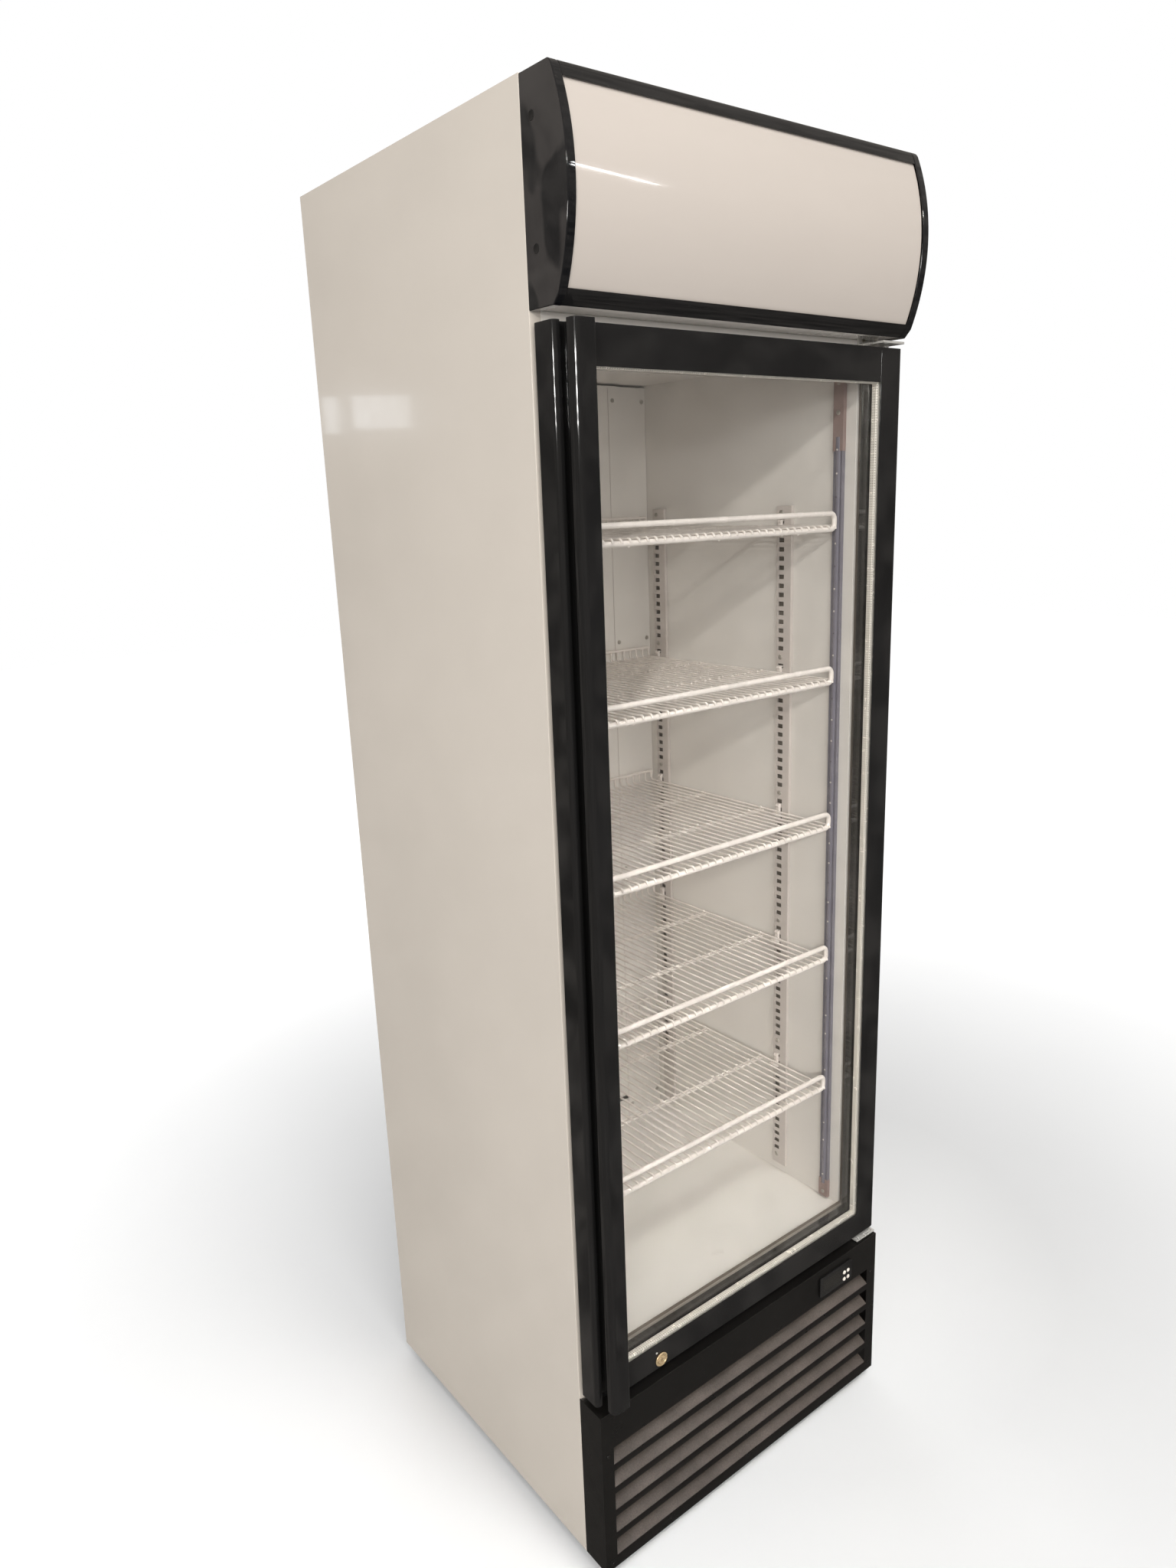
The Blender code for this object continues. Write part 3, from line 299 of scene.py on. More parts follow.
def dotted(name, color, rough, pitch, radius, hole_shade):
    """Spacer bar metal with a double row of breathing holes, each painted near-black for the shade inside it.
    """
    g = Graph(name)
    x, y, z = g.split()

    def wave(value, size, shift=0.0):
        """Distance from the middle of a cell that repeats at a size."""
        step = g.math("FRACT", g.math("ADD", g.math("DIVIDE", value, size), shift))
        return g.math("MULTIPLY", g.math("SUBTRACT", step, 0.5), size)

    def spots(along):
        """A double row of round spots along a line."""
        a = wave(along, pitch)
        b = wave(y, pitch * 0.9, 0.25)
        reach = g.math("SQRT", g.math("ADD", g.math("POWER", a, 2.0), g.math("POWER", b, 2.0)))
        return g.remap(reach, radius * 0.8, radius * 1.15, 1.0, 0.0)

    facing = g.facing()
    side = g.math("GREATER_THAN", g.math("ABSOLUTE", facing["X"]), 0.7)
    flat = g.math("GREATER_THAN", g.math("ABSOLUTE", facing["Z"]), 0.7)
    # Painted shade: the holes take a near-black tone for the shade inside them.
    holes = g.math(
        "ADD", g.math("MULTIPLY", spots(z), side), g.math("MULTIPLY", spots(x), flat), True
    )
    lines = g.noise(80.0, 6.0, (1.0, 1.0, 1.0))
    metal = g.swing(lines, color, 0.92, 1.04)
    roughness = g.remap(lines, 0.3, 0.7, rough - 0.05, rough + 0.05)
    return g.set(
        Base_Color=g.blend(holes, metal, hole_shade),
        Roughness=g.math("ADD", roughness, g.math("MULTIPLY", holes, 0.4)),
        Metallic=g.remap(holes, 0.0, 1.0, 0.35, 0.0),
        Normal=g.bump(g.math("SUBTRACT", 1.0, holes), 0.5, 0.0004),
    )


def finned(name, color, rough, pitch):
    """Packed aluminium fins: the lines between them, finer than the fins modelled, are painted shade in the
    gaps between fins.
    """
    g = Graph(name)
    step = g.math("FRACT", g.math("DIVIDE", g.split()[0], pitch))
    fin_gap = g.math("ABSOLUTE", g.math("SUBTRACT", step, 0.5))
    grime = g.noise(30.0, 5.0)
    # Painted shade: the middle of each pitch is darker, for the shade in the gap between two fins.
    base = g.blend(g.remap(fin_gap, 0.1, 0.4, 0.0, 1.0), shade(color, 0.55), color)
    base = g.blend(g.remap(grime, 0.45, 0.75, 0.0, 0.5), base, (0.2, 0.18, 0.15))
    return g.set(
        Base_Color=base,
        Roughness=g.remap(grime, 0.3, 0.7, rough, rough + 0.2),
        Metallic=0.8,
        Normal=g.bump(fin_gap, 0.4, 0.0004),
    )


def cellular(name, color):
    """Cut rigid foam."""
    g = Graph(name)
    pores = g.cells(900.0, "Distance")
    drift = g.noise(25.0, 4.0)
    base = g.swing(drift, color, 0.88, 1.08)
    # Painted shade: each pore is darker towards its middle, for the shade in the open cell.
    base = g.blend(g.remap(pores, 0.0, 0.5, 0.35, 0.0), base, shade(color, 0.5))
    return g.set(
        Base_Color=base, Roughness=g.remap(drift, 0.3, 0.7, 0.8, 0.95), Normal=g.bump(pores, 0.6, 0.0008),
    )


def louvred(name, color, overlay, rough):
    """Black paint whose sloping blades are lighter where they face up and forward: partly dust lying on them,
    partly a painted sheen for the light they catch from above.
    """
    g = Graph(name)
    base = g.swing(g.noise(6.0, 4.0), color, 0.75, 1.25)
    facing = g.facing()
    up = g.math("MULTIPLY", facing["Z"], 1.3, True)
    forward = g.math("MULTIPLY", facing["Y"], -2.2, True)
    patches = g.remap(g.noise(14.0, 5.0, (1.0, 1.0, 1.0), 0.6), 0.25, 0.75, 0.45, 1.0)
    specks = g.remap(g.noise(500.0, 6.0, None, 0.7), 0.35, 0.65, 0.55, 1.0)
    # Painted sheen and dust: faces turned up and forward take the lighter blade tone.
    dust_and_sheen = g.math("MULTIPLY", g.math("MULTIPLY", up, forward), g.math("MULTIPLY", patches, specks), True)
    strays = g.remap(g.noise(420.0, 6.0, None, 0.7), 0.6, 0.74, 0.0, 0.35)
    dust_and_sheen = g.math("MAXIMUM", dust_and_sheen, strays)
    roughness = g.remap(g.noise(30.0, 5.0), 0.3, 0.7, rough - 0.08, rough + 0.08)
    return g.set(
        Base_Color=g.blend(dust_and_sheen, base, overlay),
        Roughness=g.math("ADD", roughness, g.math("MULTIPLY", dust_and_sheen, 0.3), True),
        Normal=g.bump(g.noise(1500.0, 2.0), 0.15, 0.0002),
    )


WHITE_PAINT = coated(
    "white_paint", (0.58, 0.532, 0.478), 0.16, tint=0.02, rough_spread=0.04, bump=0.035, bump_scale=420.0,
    coat=0.6, coat_rough=0.05, dust=0.25, dust_color=(0.45, 0.42, 0.38), ripple=0.012,
)
LINER_PAINT = coated(
    "white_liner", (0.812, 0.776, 0.728), 0.33, tint=0.03, tint_scale=3.0, rough_spread=0.06, bump=0.04,
    bump_scale=700.0, dust=0.1, ripple=0.03,
)
BLACK_PAINT = coated(
    "black_paint", (0.0065, 0.0062, 0.006), 0.38, tint=0.25, rough_spread=0.08, bump=0.16, bump_scale=1500.0,
    dust=0.3, dust_color=(0.16, 0.145, 0.125),
)
BLACK_PROFILE = coated(
    "black_profile", (0.0062, 0.0061, 0.0063), 0.06, tint=0.25, rough_spread=0.04, bump=0.03,
    bump_scale=500.0,
    stretch=(1.0, 1.0, 0.06), dust=0.1, dust_color=(0.15, 0.14, 0.125), coat=0.5, coat_rough=0.025,
    ripple=0.02,
)
# Painted reflection: the second, brownish tone on faces turned to the sides stands in for the mottled room
# that the gloss mirrors.
BLACK_GLOSS = gloss_with_painted_reflection("black_gloss", (0.004, 0.0042, 0.005), (0.027, 0.0245, 0.024), 0.03)
# Painted sheen and dust: the blades' lighter brownish tone stands partly for dust and partly for the light
# they catch from above.
GRILLE_PAINT = louvred("black_paint_grille", (0.0048, 0.0045, 0.0042), (0.125, 0.102, 0.09), 0.34)
PILASTER_PAINT = coated(
    "grey_paint", (0.64, 0.585, 0.545), 0.36, tint=0.05, rough_spread=0.06, bump=0.06, bump_scale=900.0,
    dust=0.2,
)
GALVANISED = spangled("galvanised", (0.52, 0.53, 0.55), 0.3)
PLATED = brushed("steel", (0.7, 0.69, 0.66), 0.24, (1.0, 1.0, 0.15), metallic=0.6)
SCREW_STEEL = brushed("steel_screws", (0.52, 0.49, 0.44), 0.3, (1.0, 1.0, 1.0), tint=0.15, metallic=0.5)
NICKEL = brushed("nickel", (0.62, 0.47, 0.28), 0.24, (1.0, 0.2, 1.0), tint=0.14, metallic=0.6)
COPPER = brushed("copper", (0.66, 0.36, 0.24), 0.34, (1.0, 1.0, 0.1), tint=0.18)
ALUMINIUM = brushed("aluminium", (0.74, 0.74, 0.73), 0.3, (1.0, 1.0, 0.1))
CONDENSER_FINS = finned("aluminium_condenser_fins", (0.5, 0.49, 0.46), 0.42, 0.0016)
EVAPORATOR_FINS = finned("aluminium_evaporator_fins", (0.62, 0.62, 0.61), 0.38, 0.0024)
# Painted shade: the last colour is the shade inside the spacer's holes.
SPACER_METAL = dotted("aluminium_spacer", (0.86, 0.82, 0.74), 0.24, 0.0036, 0.0008, (0.1, 0.09, 0.075))
GLASS = pane("clear_glass", (0.988, 0.989, 0.989), 0.03)
ACRYLIC = coated(
    "sign_acrylic", (0.418, 0.378, 0.346), 0.08, tint=0.02, tint_scale=2.0, rough_spread=0.04, bump=0.02,
    bump_scale=300.0, coat=0.5, coat_rough=0.03, dust=0.2, dust_color=(0.45, 0.42, 0.38), ripple=0.02,
)
WIRE_COAT = coated(
    "wire_coating", (0.84, 0.775, 0.72), 0.26, tint=0.05, tint_scale=14.0, rough_spread=0.08, bump=0.1,
    bump_scale=500.0, coat=0.3, coat_rough=0.15,
)
GASKET_GREY = coated(
    "gasket_rubber", (0.36, 0.33, 0.28), 0.55, tint=0.1, rough_spread=0.08, bump=0.15, bump_scale=1200.0,
    dust=0.3,
)
# Painted shade: the gasket's own rubber made darker and browner, for the shaded band along the seal's lip.
GASKET_LIP_SHADED = coated(
    "gasket_lip", (0.17, 0.14, 0.112), 0.5, tint=0.15, tint_scale=9.0, rough_spread=0.08, bump=0.15,
    bump_scale=1200.0,
)
LED_BODY = coated(
    "led_strip", (0.175, 0.165, 0.195), 0.34, tint=0.05, rough_spread=0.06, bump=0.05, bump_scale=900.0,
    coat=0.3,
)
LED_LENS = coated("led_lens", (0.2, 0.19, 0.225), 0.2, tint=0.05, bump=0.03, coat=0.6, rough_spread=0.05)
LED_END = coated("led_end", (0.3, 0.22, 0.2), 0.4, tint=0.15, tint_scale=18.0, rough_spread=0.1)
BUTTON_PLASTIC = coated("button_white", (0.62, 0.57, 0.52), 0.4, tint=0.06, tint_scale=60.0, bump=0.08)
DISPLAY = coated(
    "display_window", (0.007, 0.0065, 0.0055), 0.08, tint=0.2, bump=0.01, coat=0.9, rough_spread=0.02,
)
FOOT_PLASTIC = coated(
    "foot_plastic", (0.022, 0.022, 0.022), 0.5, tint=0.2, bump=0.25, bump_scale=1200.0, dust=0.5,
)
LAMP_GLASS = coated("lamp_tube", (0.86, 0.86, 0.83), 0.14, tint=0.02, coat=0.5, bump=0.02)
FOAM = cellular("foam", (0.72, 0.58, 0.32))
STUD_ZINC = brushed("zinc", (0.6, 0.58, 0.5), 0.32, (1.0, 1.0, 1.0), tint=0.12)
# Painted shade: a sheet in this tone behind the pilaster slots stands in for the shade inside the channels.
SLOT_SHADE = coated("slot_shade", (0.17, 0.15, 0.125), 0.6, tint=0.25, tint_scale=40.0, bump=0.1)
# Near-black: the real colour of the resistor chips on the LED strip, and painted shade in the empty grille
# holes.
BLACK_AND_HOLE_SHADE = coated("black_and_hole_shade", (0.006, 0.006, 0.006), 0.6, tint=0.3, bump=0.1)

# ---------------------------------------------------------------- mesh tools


def linked(name, data):
    """A new object in the scene."""
    obj = bpy.data.objects.new(name, data)
    bpy.context.scene.collection.objects.link(obj)
    return obj


def mesh_from(name, bm):
    """A mesh with outward faces; the bmesh is used up."""
    bmesh.ops.recalc_face_normals(bm, faces=bm.faces)
    mesh = bpy.data.meshes.new(name)
    bm.to_mesh(mesh)
    bm.free()
    return mesh


def finish_mesh(name, bm, mat, slot=None, stands_for=(), **finish):
    """Makes one piece of a bmesh and lets it ride on a body."""
    return finish_piece(name, mesh_from(name, bm), mat, slot, stands_for, **finish)


def finish_piece(
    name, mesh, mat, slot=None, stands_for=(), body="cabinet", sharp=35.0, bevel=0.0, segments=2
):
    """Shades a mesh, softens its edges and lets it ride on a body, in place of some CAD nodes."""
    for one in mat if isinstance(mat, (list, tuple)) else [mat]:
        mesh.materials.append(one)
    mesh.shade_smooth()
    mesh.set_sharp_from_angle(angle=math.radians(sharp))
    obj = linked(name, mesh)
    if bevel:
        round_edges(obj, bevel, segments)
    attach(obj, body)
    if stands_for:
        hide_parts(*stands_for)
    return obj


def round_edges(obj, width, segments=2, angle=32.0):
    """Softens the edges sharper than an angle."""
    modifier = obj.modifiers.new("edges", "BEVEL")
    modifier.width = width
    modifier.segments = segments
    modifier.limit_method = "ANGLE"
    modifier.angle_limit = math.radians(angle)
    modifier.harden_normals = True
    return modifier


def keep(node, mat, edge=0.0, segments=2):
    """Leaves a CAD node in view with a finished material and softened edges."""
    obj = NODES[node]
    if not obj.material_slots:
        obj.data.materials.append(mat)
    for entry in obj.material_slots:
        entry.material = mat
    weld = obj.modifiers.new("weld", "WELD")
    weld.merge_threshold = 0.00002
    flat = obj.modifiers.new("flat", "DECIMATE")
    flat.decimate_type = "DISSOLVE"
    flat.angle_limit = math.radians(0.5)
    if edge:
        bevel = round_edges(obj, edge, segments, 30.0)
        bevel.harden_normals = False
    normals = obj.modifiers.new("normals", "WEIGHTED_NORMAL")
    normals.keep_sharp = False
    normals.weight = 60
    return obj


def add_box(bm, low, high):
    """A block between two places."""
    low, high = place(*low), place(*high)
    matrix = Matrix.Translation((low + high) / 2) @ Matrix.Diagonal((*(high - low), 1))
    bmesh.ops.create_cube(bm, size=1.0, matrix=matrix)


SPOTS = {
    "XY": lambda p, s: place(p[0], p[1], s),
    "YZ": lambda p, s: place(s, p[0], p[1]),
    "XZ": lambda p, s: place(p[0], s, p[1]),
}


def bridge(bm, first, second):
    """Joins two closed rings of equal length with quads."""
    following = (first[1:] + first[:1], second[1:] + second[:1])
    for corners in zip(first, *following, second):
        bm.faces.new(corners)


def add_prism(bm, loop, span, plane):
    """A closed outline drawn out between two values of the remaining coordinate."""
    spot = SPOTS[plane]
    near, far = [[bm.verts.new(spot(p, s)) for p in loop] for s in span]
    bm.faces.new(near)
    bm.faces.new(far[::-1])
    bridge(bm, near, far)


def offset_strip(points, thickness):
    """Closed outline of a folded sheet: an open line and its copy to the left of it."""
    count = len(points)
    inner = []
    for i in range(count):
        before = Vector(points[i]) - Vector(points[i - 1]) if i else None
        after = Vector(points[i + 1]) - Vector(points[i]) if i < count - 1 else None
        sides = [Vector((-v.y, v.x)).normalized() for v in (before, after) if v is not None]
        normal = sum(sides, Vector((0, 0))).normalized()
        stretch = 1 / max(0.3, normal.dot(sides[0]))
        inner.append(tuple(Vector(points[i]) + normal * thickness * stretch))
    return list(points) + list(reversed(inner))


def arc(centre, radius, start, end, steps):
    """Points along part of a circle, from one angle to another in degrees."""
    found = []
    for i in range(steps + 1):
        angle = math.radians(start + (end - start) * i / steps)
        found.append((centre[0] + radius * math.cos(angle), centre[1] + radius * math.sin(angle)))
    return found


def add_tube(bm, points, radius, sides=10, closed=False):
    """A round bar through places, its cross-section carried along without twist."""
    path = [place(*p) for p in points]
    count = len(path)
    tangents = []
    for i in range(count):
        if closed:
            step = path[(i + 1) % count] - path[i - 1]
        else:
            step = path[min(i + 1, count - 1)] - path[max(i - 1, 0)]
        tangents.append(step.normalized())
    side = tangents[0].orthogonal().normalized()
    rings = []
    for i in range(count):
        if i:
            side = tangents[i - 1].rotation_difference(tangents[i]) @ side
        side = (side - tangents[i] * side.dot(tangents[i])).normalized()
        other = tangents[i].cross(side)
        ring = []
        for k in range(sides):
            angle = math.tau * k / sides
            ring.append(bm.verts.new(path[i] + radius * (math.cos(angle) * side + math.sin(angle) * other)))
        rings.append(ring)
    pairs = list(zip(rings, rings[1:]))
    if closed:
        last, first = rings[-1], rings[0]
        shift = min(range(sides), key=lambda s: (last[0].co - first[s].co).length)
        pairs.append((last, first[shift:] + first[:shift]))
    for a, b in pairs:
        bridge(bm, a, b)
    if not closed:
        bm.faces.new(rings[0])
        bm.faces.new(rings[-1][::-1])


def bend(points, radius, steps=4):
    """Rounds the corners of a path of places."""
    corners = [Vector(p) for p in points]
    found = [tuple(corners[0])]
    for before, here, after in zip(corners, corners[1:], corners[2:]):
        a, b = (before - here), (after - here)
        reach = min(radius, a.length * 0.49, b.length * 0.49)
        start, end = here + a.normalized() * reach, here + b.normalized() * reach
        for i in range(steps + 1):
            t = i / steps
            found.append(tuple(start * (1 - t) ** 2 + here * 2 * t * (1 - t) + end * t**2))
    found.append(tuple(corners[-1]))
    return found


TURNS = {
    "X": Matrix.Rotation(math.pi / 2, 4, "Y"),
    "-X": Matrix.Rotation(-math.pi / 2, 4, "Y"),
    "Y": Matrix.Rotation(-math.pi / 2, 4, "X"),
    "-Y": Matrix.Rotation(math.pi / 2, 4, "X"),
    "Z": Matrix.Identity(4),
    "-Z": Matrix.Rotation(math.pi, 4, "X"),
}


def add_turned(bm, profile, centre, axis="Z", steps=24, material=0):
    """Solid of revolution: profile is (radius, distance along the axis)."""
    matrix = Matrix.Translation(place(*centre)) @ TURNS[axis]
    rings = []
    for radius, along in profile:
        if radius < 1e-7:
            rings.append([bm.verts.new(matrix @ Vector((0, 0, along)))])
            continue
        ring = []
        for k in range(steps):
            angle = math.tau * k / steps
            ring.append(
                bm.verts.new(matrix @ Vector((radius * math.cos(angle), radius * math.sin(angle), along)))
            )
        rings.append(ring)
    for a, b in zip(rings, rings[1:]):
        for k in range(steps):
            j = (k + 1) % steps
            if len(a) == 1 and len(b) == 1:
                continue
            if len(a) == 1:
                face = bm.faces.new((a[0], b[k], b[j]))
            elif len(b) == 1:
                face = bm.faces.new((a[k], b[0], a[j]))
            else:
                face = bm.faces.new((a[k], b[k], b[j], a[j]))
            face.material_index = material
    for ring in (rings[0], rings[-1]):
        if len(ring) > 1:
            bm.faces.new(ring).material_index = material


def add_screw(bm, centre, axis, radius, height):
    """Pan head with a cross recess."""
    matrix = Matrix.Translation(place(*centre)) @ TURNS[axis]

    def ring(points, along):
        """New corners at one height above the seat."""
        return [bm.verts.new(matrix @ Vector((a, b, along))) for a, b in points]

    arm, half = radius * 0.5, radius * 0.11
    cross = [
        (arm, -half), (arm, half), (half, half), (half, arm), (-half, arm), (-half, half),
        (-arm, half), (-arm, -half), (-half, -half), (-half, -arm), (half, -arm), (half, -half),
    ]
    turns = [math.atan2(b, a) for a, b in cross]
    rings = [
        ring([(reach * math.cos(t), reach * math.sin(t)) for t in turns], along)
        for reach, along in (
            (radius, 0.0), (radius, height * 0.35), (radius * 0.88, height * 0.75), (
                radius * 0.66, height * 0.97,
            )
        )
    ]
    rings += [ring(cross, height), ring(cross, height * 0.45)]
    for a, b in zip(rings, rings[1:]):
        bridge(bm, a, b)
    bm.faces.new(rings[0])
    bm.faces.new(rings[-1])


def add_ring(bm, profile, low, high):
    """Mitred frame: profile is (inset, depth) round a rectangle from low to high (x, height)."""
    rows = []
    for inset, depth in profile:
        corners = (
            (low[0] + inset, low[1] + inset),
            (high[0] - inset, low[1] + inset),
            (high[0] - inset, high[1] - inset),
            (low[0] + inset, high[1] - inset),
        )
        rows.append([bm.verts.new(place(x, depth, z)) for x, z in corners])
    for a, b in zip(rows, rows[1:] + rows[:1]):
        bridge(bm, a, b)


def carved(name, bm, cutter_bm):
    """The mesh left when one bmesh is cut from another."""
    block = linked(name, mesh_from(name, bm))
    cutter = linked(f"{name}_cutter", mesh_from(f"{name}_cutter", cutter_bm))
    modifier = block.modifiers.new("cut", "BOOLEAN")
    modifier.object = cutter
    modifier.solver = "EXACT"
    bpy.context.view_layer.update()
    evaluated = block.evaluated_get(bpy.context.evaluated_depsgraph_get())
    mesh = bpy.data.meshes.new_from_object(evaluated)
    mesh.materials.clear()
    mesh.name = name
    for obj in (block, cutter):
        bpy.data.objects.remove(obj, do_unlink=True)
    return mesh


def inset(loop, distance):
    """A closed outline drawn in by a distance; the loop may run either way round."""
    points = [Vector(p) for p in loop]
    area = sum(a.x * b.y - b.x * a.y for a, b in zip(points, points[1:] + points[:1]))
    turn = 1 if area > 0 else -1
    found = []
    for before, here, after in zip(points[-1:] + points[:-1], points, points[1:] + points[:1]):
        first, second = (here - before).normalized(), (after - here).normalized()
        normal_a = Vector((-first.y, first.x)) * turn
        normal_b = Vector((-second.y, second.x)) * turn
        middle = (normal_a + normal_b).normalized()
        found.append(tuple(here + middle * distance / max(0.35, middle.dot(normal_a))))
    return found


def rounded_rectangle(low, high, radius, steps=5):
    """Outline of a rectangle with round corners."""
    loop = []
    for centre, start in (
        ((high[0] - radius, low[1] + radius), 270),
        ((high[0] - radius, high[1] - radius), 0),
        ((low[0] + radius, high[1] - radius), 90),
        ((low[0] + radius, low[1] + radius), 180),
    ):
        loop += arc(centre, radius, start, start + 90, steps)
    return loop


def add_hex(bm, centre, across, thickness, axis="Z"):
    """Chamfered hexagon head or nut."""
    radius = across / math.sqrt(3)
    chamfer = thickness * 0.16
    profile = [
        (radius * 0.93, 0), (radius, chamfer), (radius, thickness - chamfer), (radius * 0.93, thickness),
    ]
    add_turned(bm, profile, centre, axis, 6)


# ---------------------------------------------------------------- cabinet shell


def shell():
    """Panels, tray, insulation, liner and duct: sheet and foam as the CAD has them."""
    for side in ("left", "right"):
        keep(f"side_panel_{side}", WHITE_PAINT, 0.0005)
    keep("top_panel", WHITE_PAINT, 0.0005)
    keep("back_panel", GALVANISED, 0.0003)
    keep("rear_vent_cover", GALVANISED, 0.0003)
    keep("base_tray", GALVANISED, 0.0003)
    keep("foam_insulation", FOAM, 0.0005)
    keep("inner_liner", LINER_PAINT, 0.0005)
    keep("duct_cover", LINER_PAINT, 0.0004)


def back_screws():
    """Screws down both edges of the back and along its joints."""
    bm = bmesh.new()
    depth = local_box("back_panel")[1].y
    for x in (-0.298, 0.298):
        for level in range(8):
            add_screw(bm, (x, depth, 0.32 + level * 0.235), "Y", 0.0042, 0.0012)
        for level in (0.03, 0.145, 0.262):
            add_screw(bm, (x, depth, level), "Y", 0.0042, 0.0012)
    for x in (-0.15, 0.0, 0.15):
        add_screw(bm, (x, depth, 1.965), "Y", 0.0042, 0.0012)
        add_screw(bm, (x, depth, 0.278), "Y", 0.0042, 0.0012)
    finish_mesh("back_screws", bm, SCREW_STEEL, "steel")


# ---------------------------------------------------------------- food compartment


def duct_details():
    """Screws, and a folded crease down each side of the duct cover."""
    bm = bmesh.new()
    low, high = local_box("duct_cover")
    face = high.y - 0.0012
    for x, depth in ((0.1815, low.y), (0.256, face), (-0.1815, low.y), (-0.256, face)):
        for level in (0.36, 0.86, 1.29, 1.703):
            add_screw(bm, (x, depth, level), "-Y", 0.0038, 0.002)
    finish_mesh("duct_screws", bm, SCREW_STEEL, "steel")
    bm = bmesh.new()
    for x in (-0.1716, 0.1716):
        loop = [
            (x - 0.0008, low.y - 0.0006), (x, low.y - 0.0011), (x + 0.0008, low.y - 0.0006),
            (x, low.y + 0.0004),
        ]
        add_prism(bm, loop, (low.z + 0.004, high.z - 0.004), "XY")
    finish_mesh("duct_folds", bm, PILASTER_PAINT, "white_liner")


SLOT_PITCH = 0.01428
SLOT_TOP = 1.51
SLOTS = 81
SLOT_HIGH = 0.007
SLOT_FROM_EDGE = (0.0145, 0.0258)
SCREW_EVERY = 16


def slotted_face(bm, x, near, far, low, high, levels, slot):
    """A flat strip with a row of square windows, as quads."""
    columns = (near, slot[0], slot[1], far)
    edges = [low]
    for level in sorted(levels):
        edges += [level - SLOT_HIGH / 2, level + SLOT_HIGH / 2]
    edges.append(high)
    rows = [[bm.verts.new(place(x, depth, level)) for depth in columns] for level in edges]
    for i, (a, b) in enumerate(zip(rows, rows[1:])):
        for k in range(3):
            if k == 1 and i % 2 == 1:
                continue
            bm.faces.new((a[k], a[k + 1], b[k + 1], b[k]))
    return rows


def uprights():
    """The four pilasters: CAD node, side of the cabinet, and box."""
    for row in ("front", "rear"):
        for side, sign in (("left", -1), ("right", 1)):
            node = f"pilaster_{row}_{side}"
            yield node, sign, *local_box(node)


def slotted_channel(node, sign, low, high):
    """One upright: a channel with square slots, bar every sixteenth, where a screw sits."""
    face, wall = sorted((low.x, high.x), key=abs)
    face += sign * 0.0005
    wall -= sign * 0.0001
    near, far = low.y + 0.0005, high.y - 0.0005
    levels = [SLOT_TOP - k * SLOT_PITCH for k in range(SLOTS) if k % SCREW_EVERY]
    slot = (low.y + SLOT_FROM_EDGE[0], low.y + SLOT_FROM_EDGE[1])
    bm = bmesh.new()
    rows = slotted_face(bm, face, near, far, low.z, high.z, levels, slot)
    for index in (0, 3):
        edge = [r[index] for r in rows]
        foot = [bm.verts.new(Vector((wall, v.co.y, v.co.z))) for v in edge]
        for a, b, c, d in zip(edge, edge[1:], foot[1:], foot):
            bm.faces.new((a, b, c, d))
    piece = finish_mesh(f"{node}_slotted", bm, PILASTER_PAINT, "grey_paint", [node])
    sheet = piece.modifiers.new("sheet", "SOLIDIFY")
    sheet.thickness = 0.001
    sheet.offset = 0.0
    round_edges(piece, 0.0002, 1)


def pilasters():
    """The slotted uprights, the shade seen through their slots, and their screws."""
    slot_shades, screws = bmesh.new(), bmesh.new()
    for node, sign, low, high in uprights():
        slotted_channel(node, sign, low, high)
        face, wall = sorted((low.x, high.x), key=abs)
        # Painted shade: a thin sheet in the slot-shade tone just off the wall, seen through the slots.
        left, right = sorted((wall - sign * 0.0002, wall - sign * 0.001))
        loop = [
            (left, low.y + 0.002), (right, low.y + 0.002), (right, high.y - 0.002), (left, high.y - 0.002),
        ]
        add_prism(slot_shades, loop, (low.z + 0.001, high.z - 0.001), "XY")
        depth = low.y + sum(SLOT_FROM_EDGE) / 2
        for k in range(0, SLOTS + 1, SCREW_EVERY):
            spot = (face, depth, SLOT_TOP - k * SLOT_PITCH)
            add_screw(screws, spot, "X" if sign < 0 else "-X", 0.004, 0.0016)
    finish_mesh("pilaster_slot_shade", slot_shades, SLOT_SHADE, "grey_paint")
    finish_mesh("pilaster_screws", screws, SCREW_STEEL, "steel")


# A clip's outline: reach from the pilaster's face into the cabinet, and height above the shelf.
CLIP_OUTLINE = (
    (0, 0.0125), (0, -0.0115), (0.003, -0.0115), (0.015, -0.002), (0.018, -0.0008), (0.018, 0.0012),
    (0.0055, 0.0022), (0.005, 0.009), (0.0065, 0.0118), (0.004, 0.0148), (-0.003, 0.0148), (-0.003, 0.0125),
)
CLIP_HALF = 0.0036


def shelf_clips(levels):
    """Hooked plastic clips: two per shelf on each side wall, under the outermost wires."""
    for number, level in enumerate(levels, 1):
        bm = bmesh.new()
        for _, sign, low, high in uprights():
            face = min(abs(low.x), abs(high.x)) - 0.0002
            depth = low.y + sum(SLOT_FROM_EDGE) / 2
            loop = [(sign * (face - into), level + up) for into, up in CLIP_OUTLINE]
            add_prism(bm, loop, (depth - CLIP_HALF, depth + CLIP_HALF), "XZ")
        finish_mesh(f"shelf_{number}_clips", bm, WIRE_COAT, "wire_coating", bevel=0.0006)


WIRES = 34
WIRE_RADIUS = 0.0018


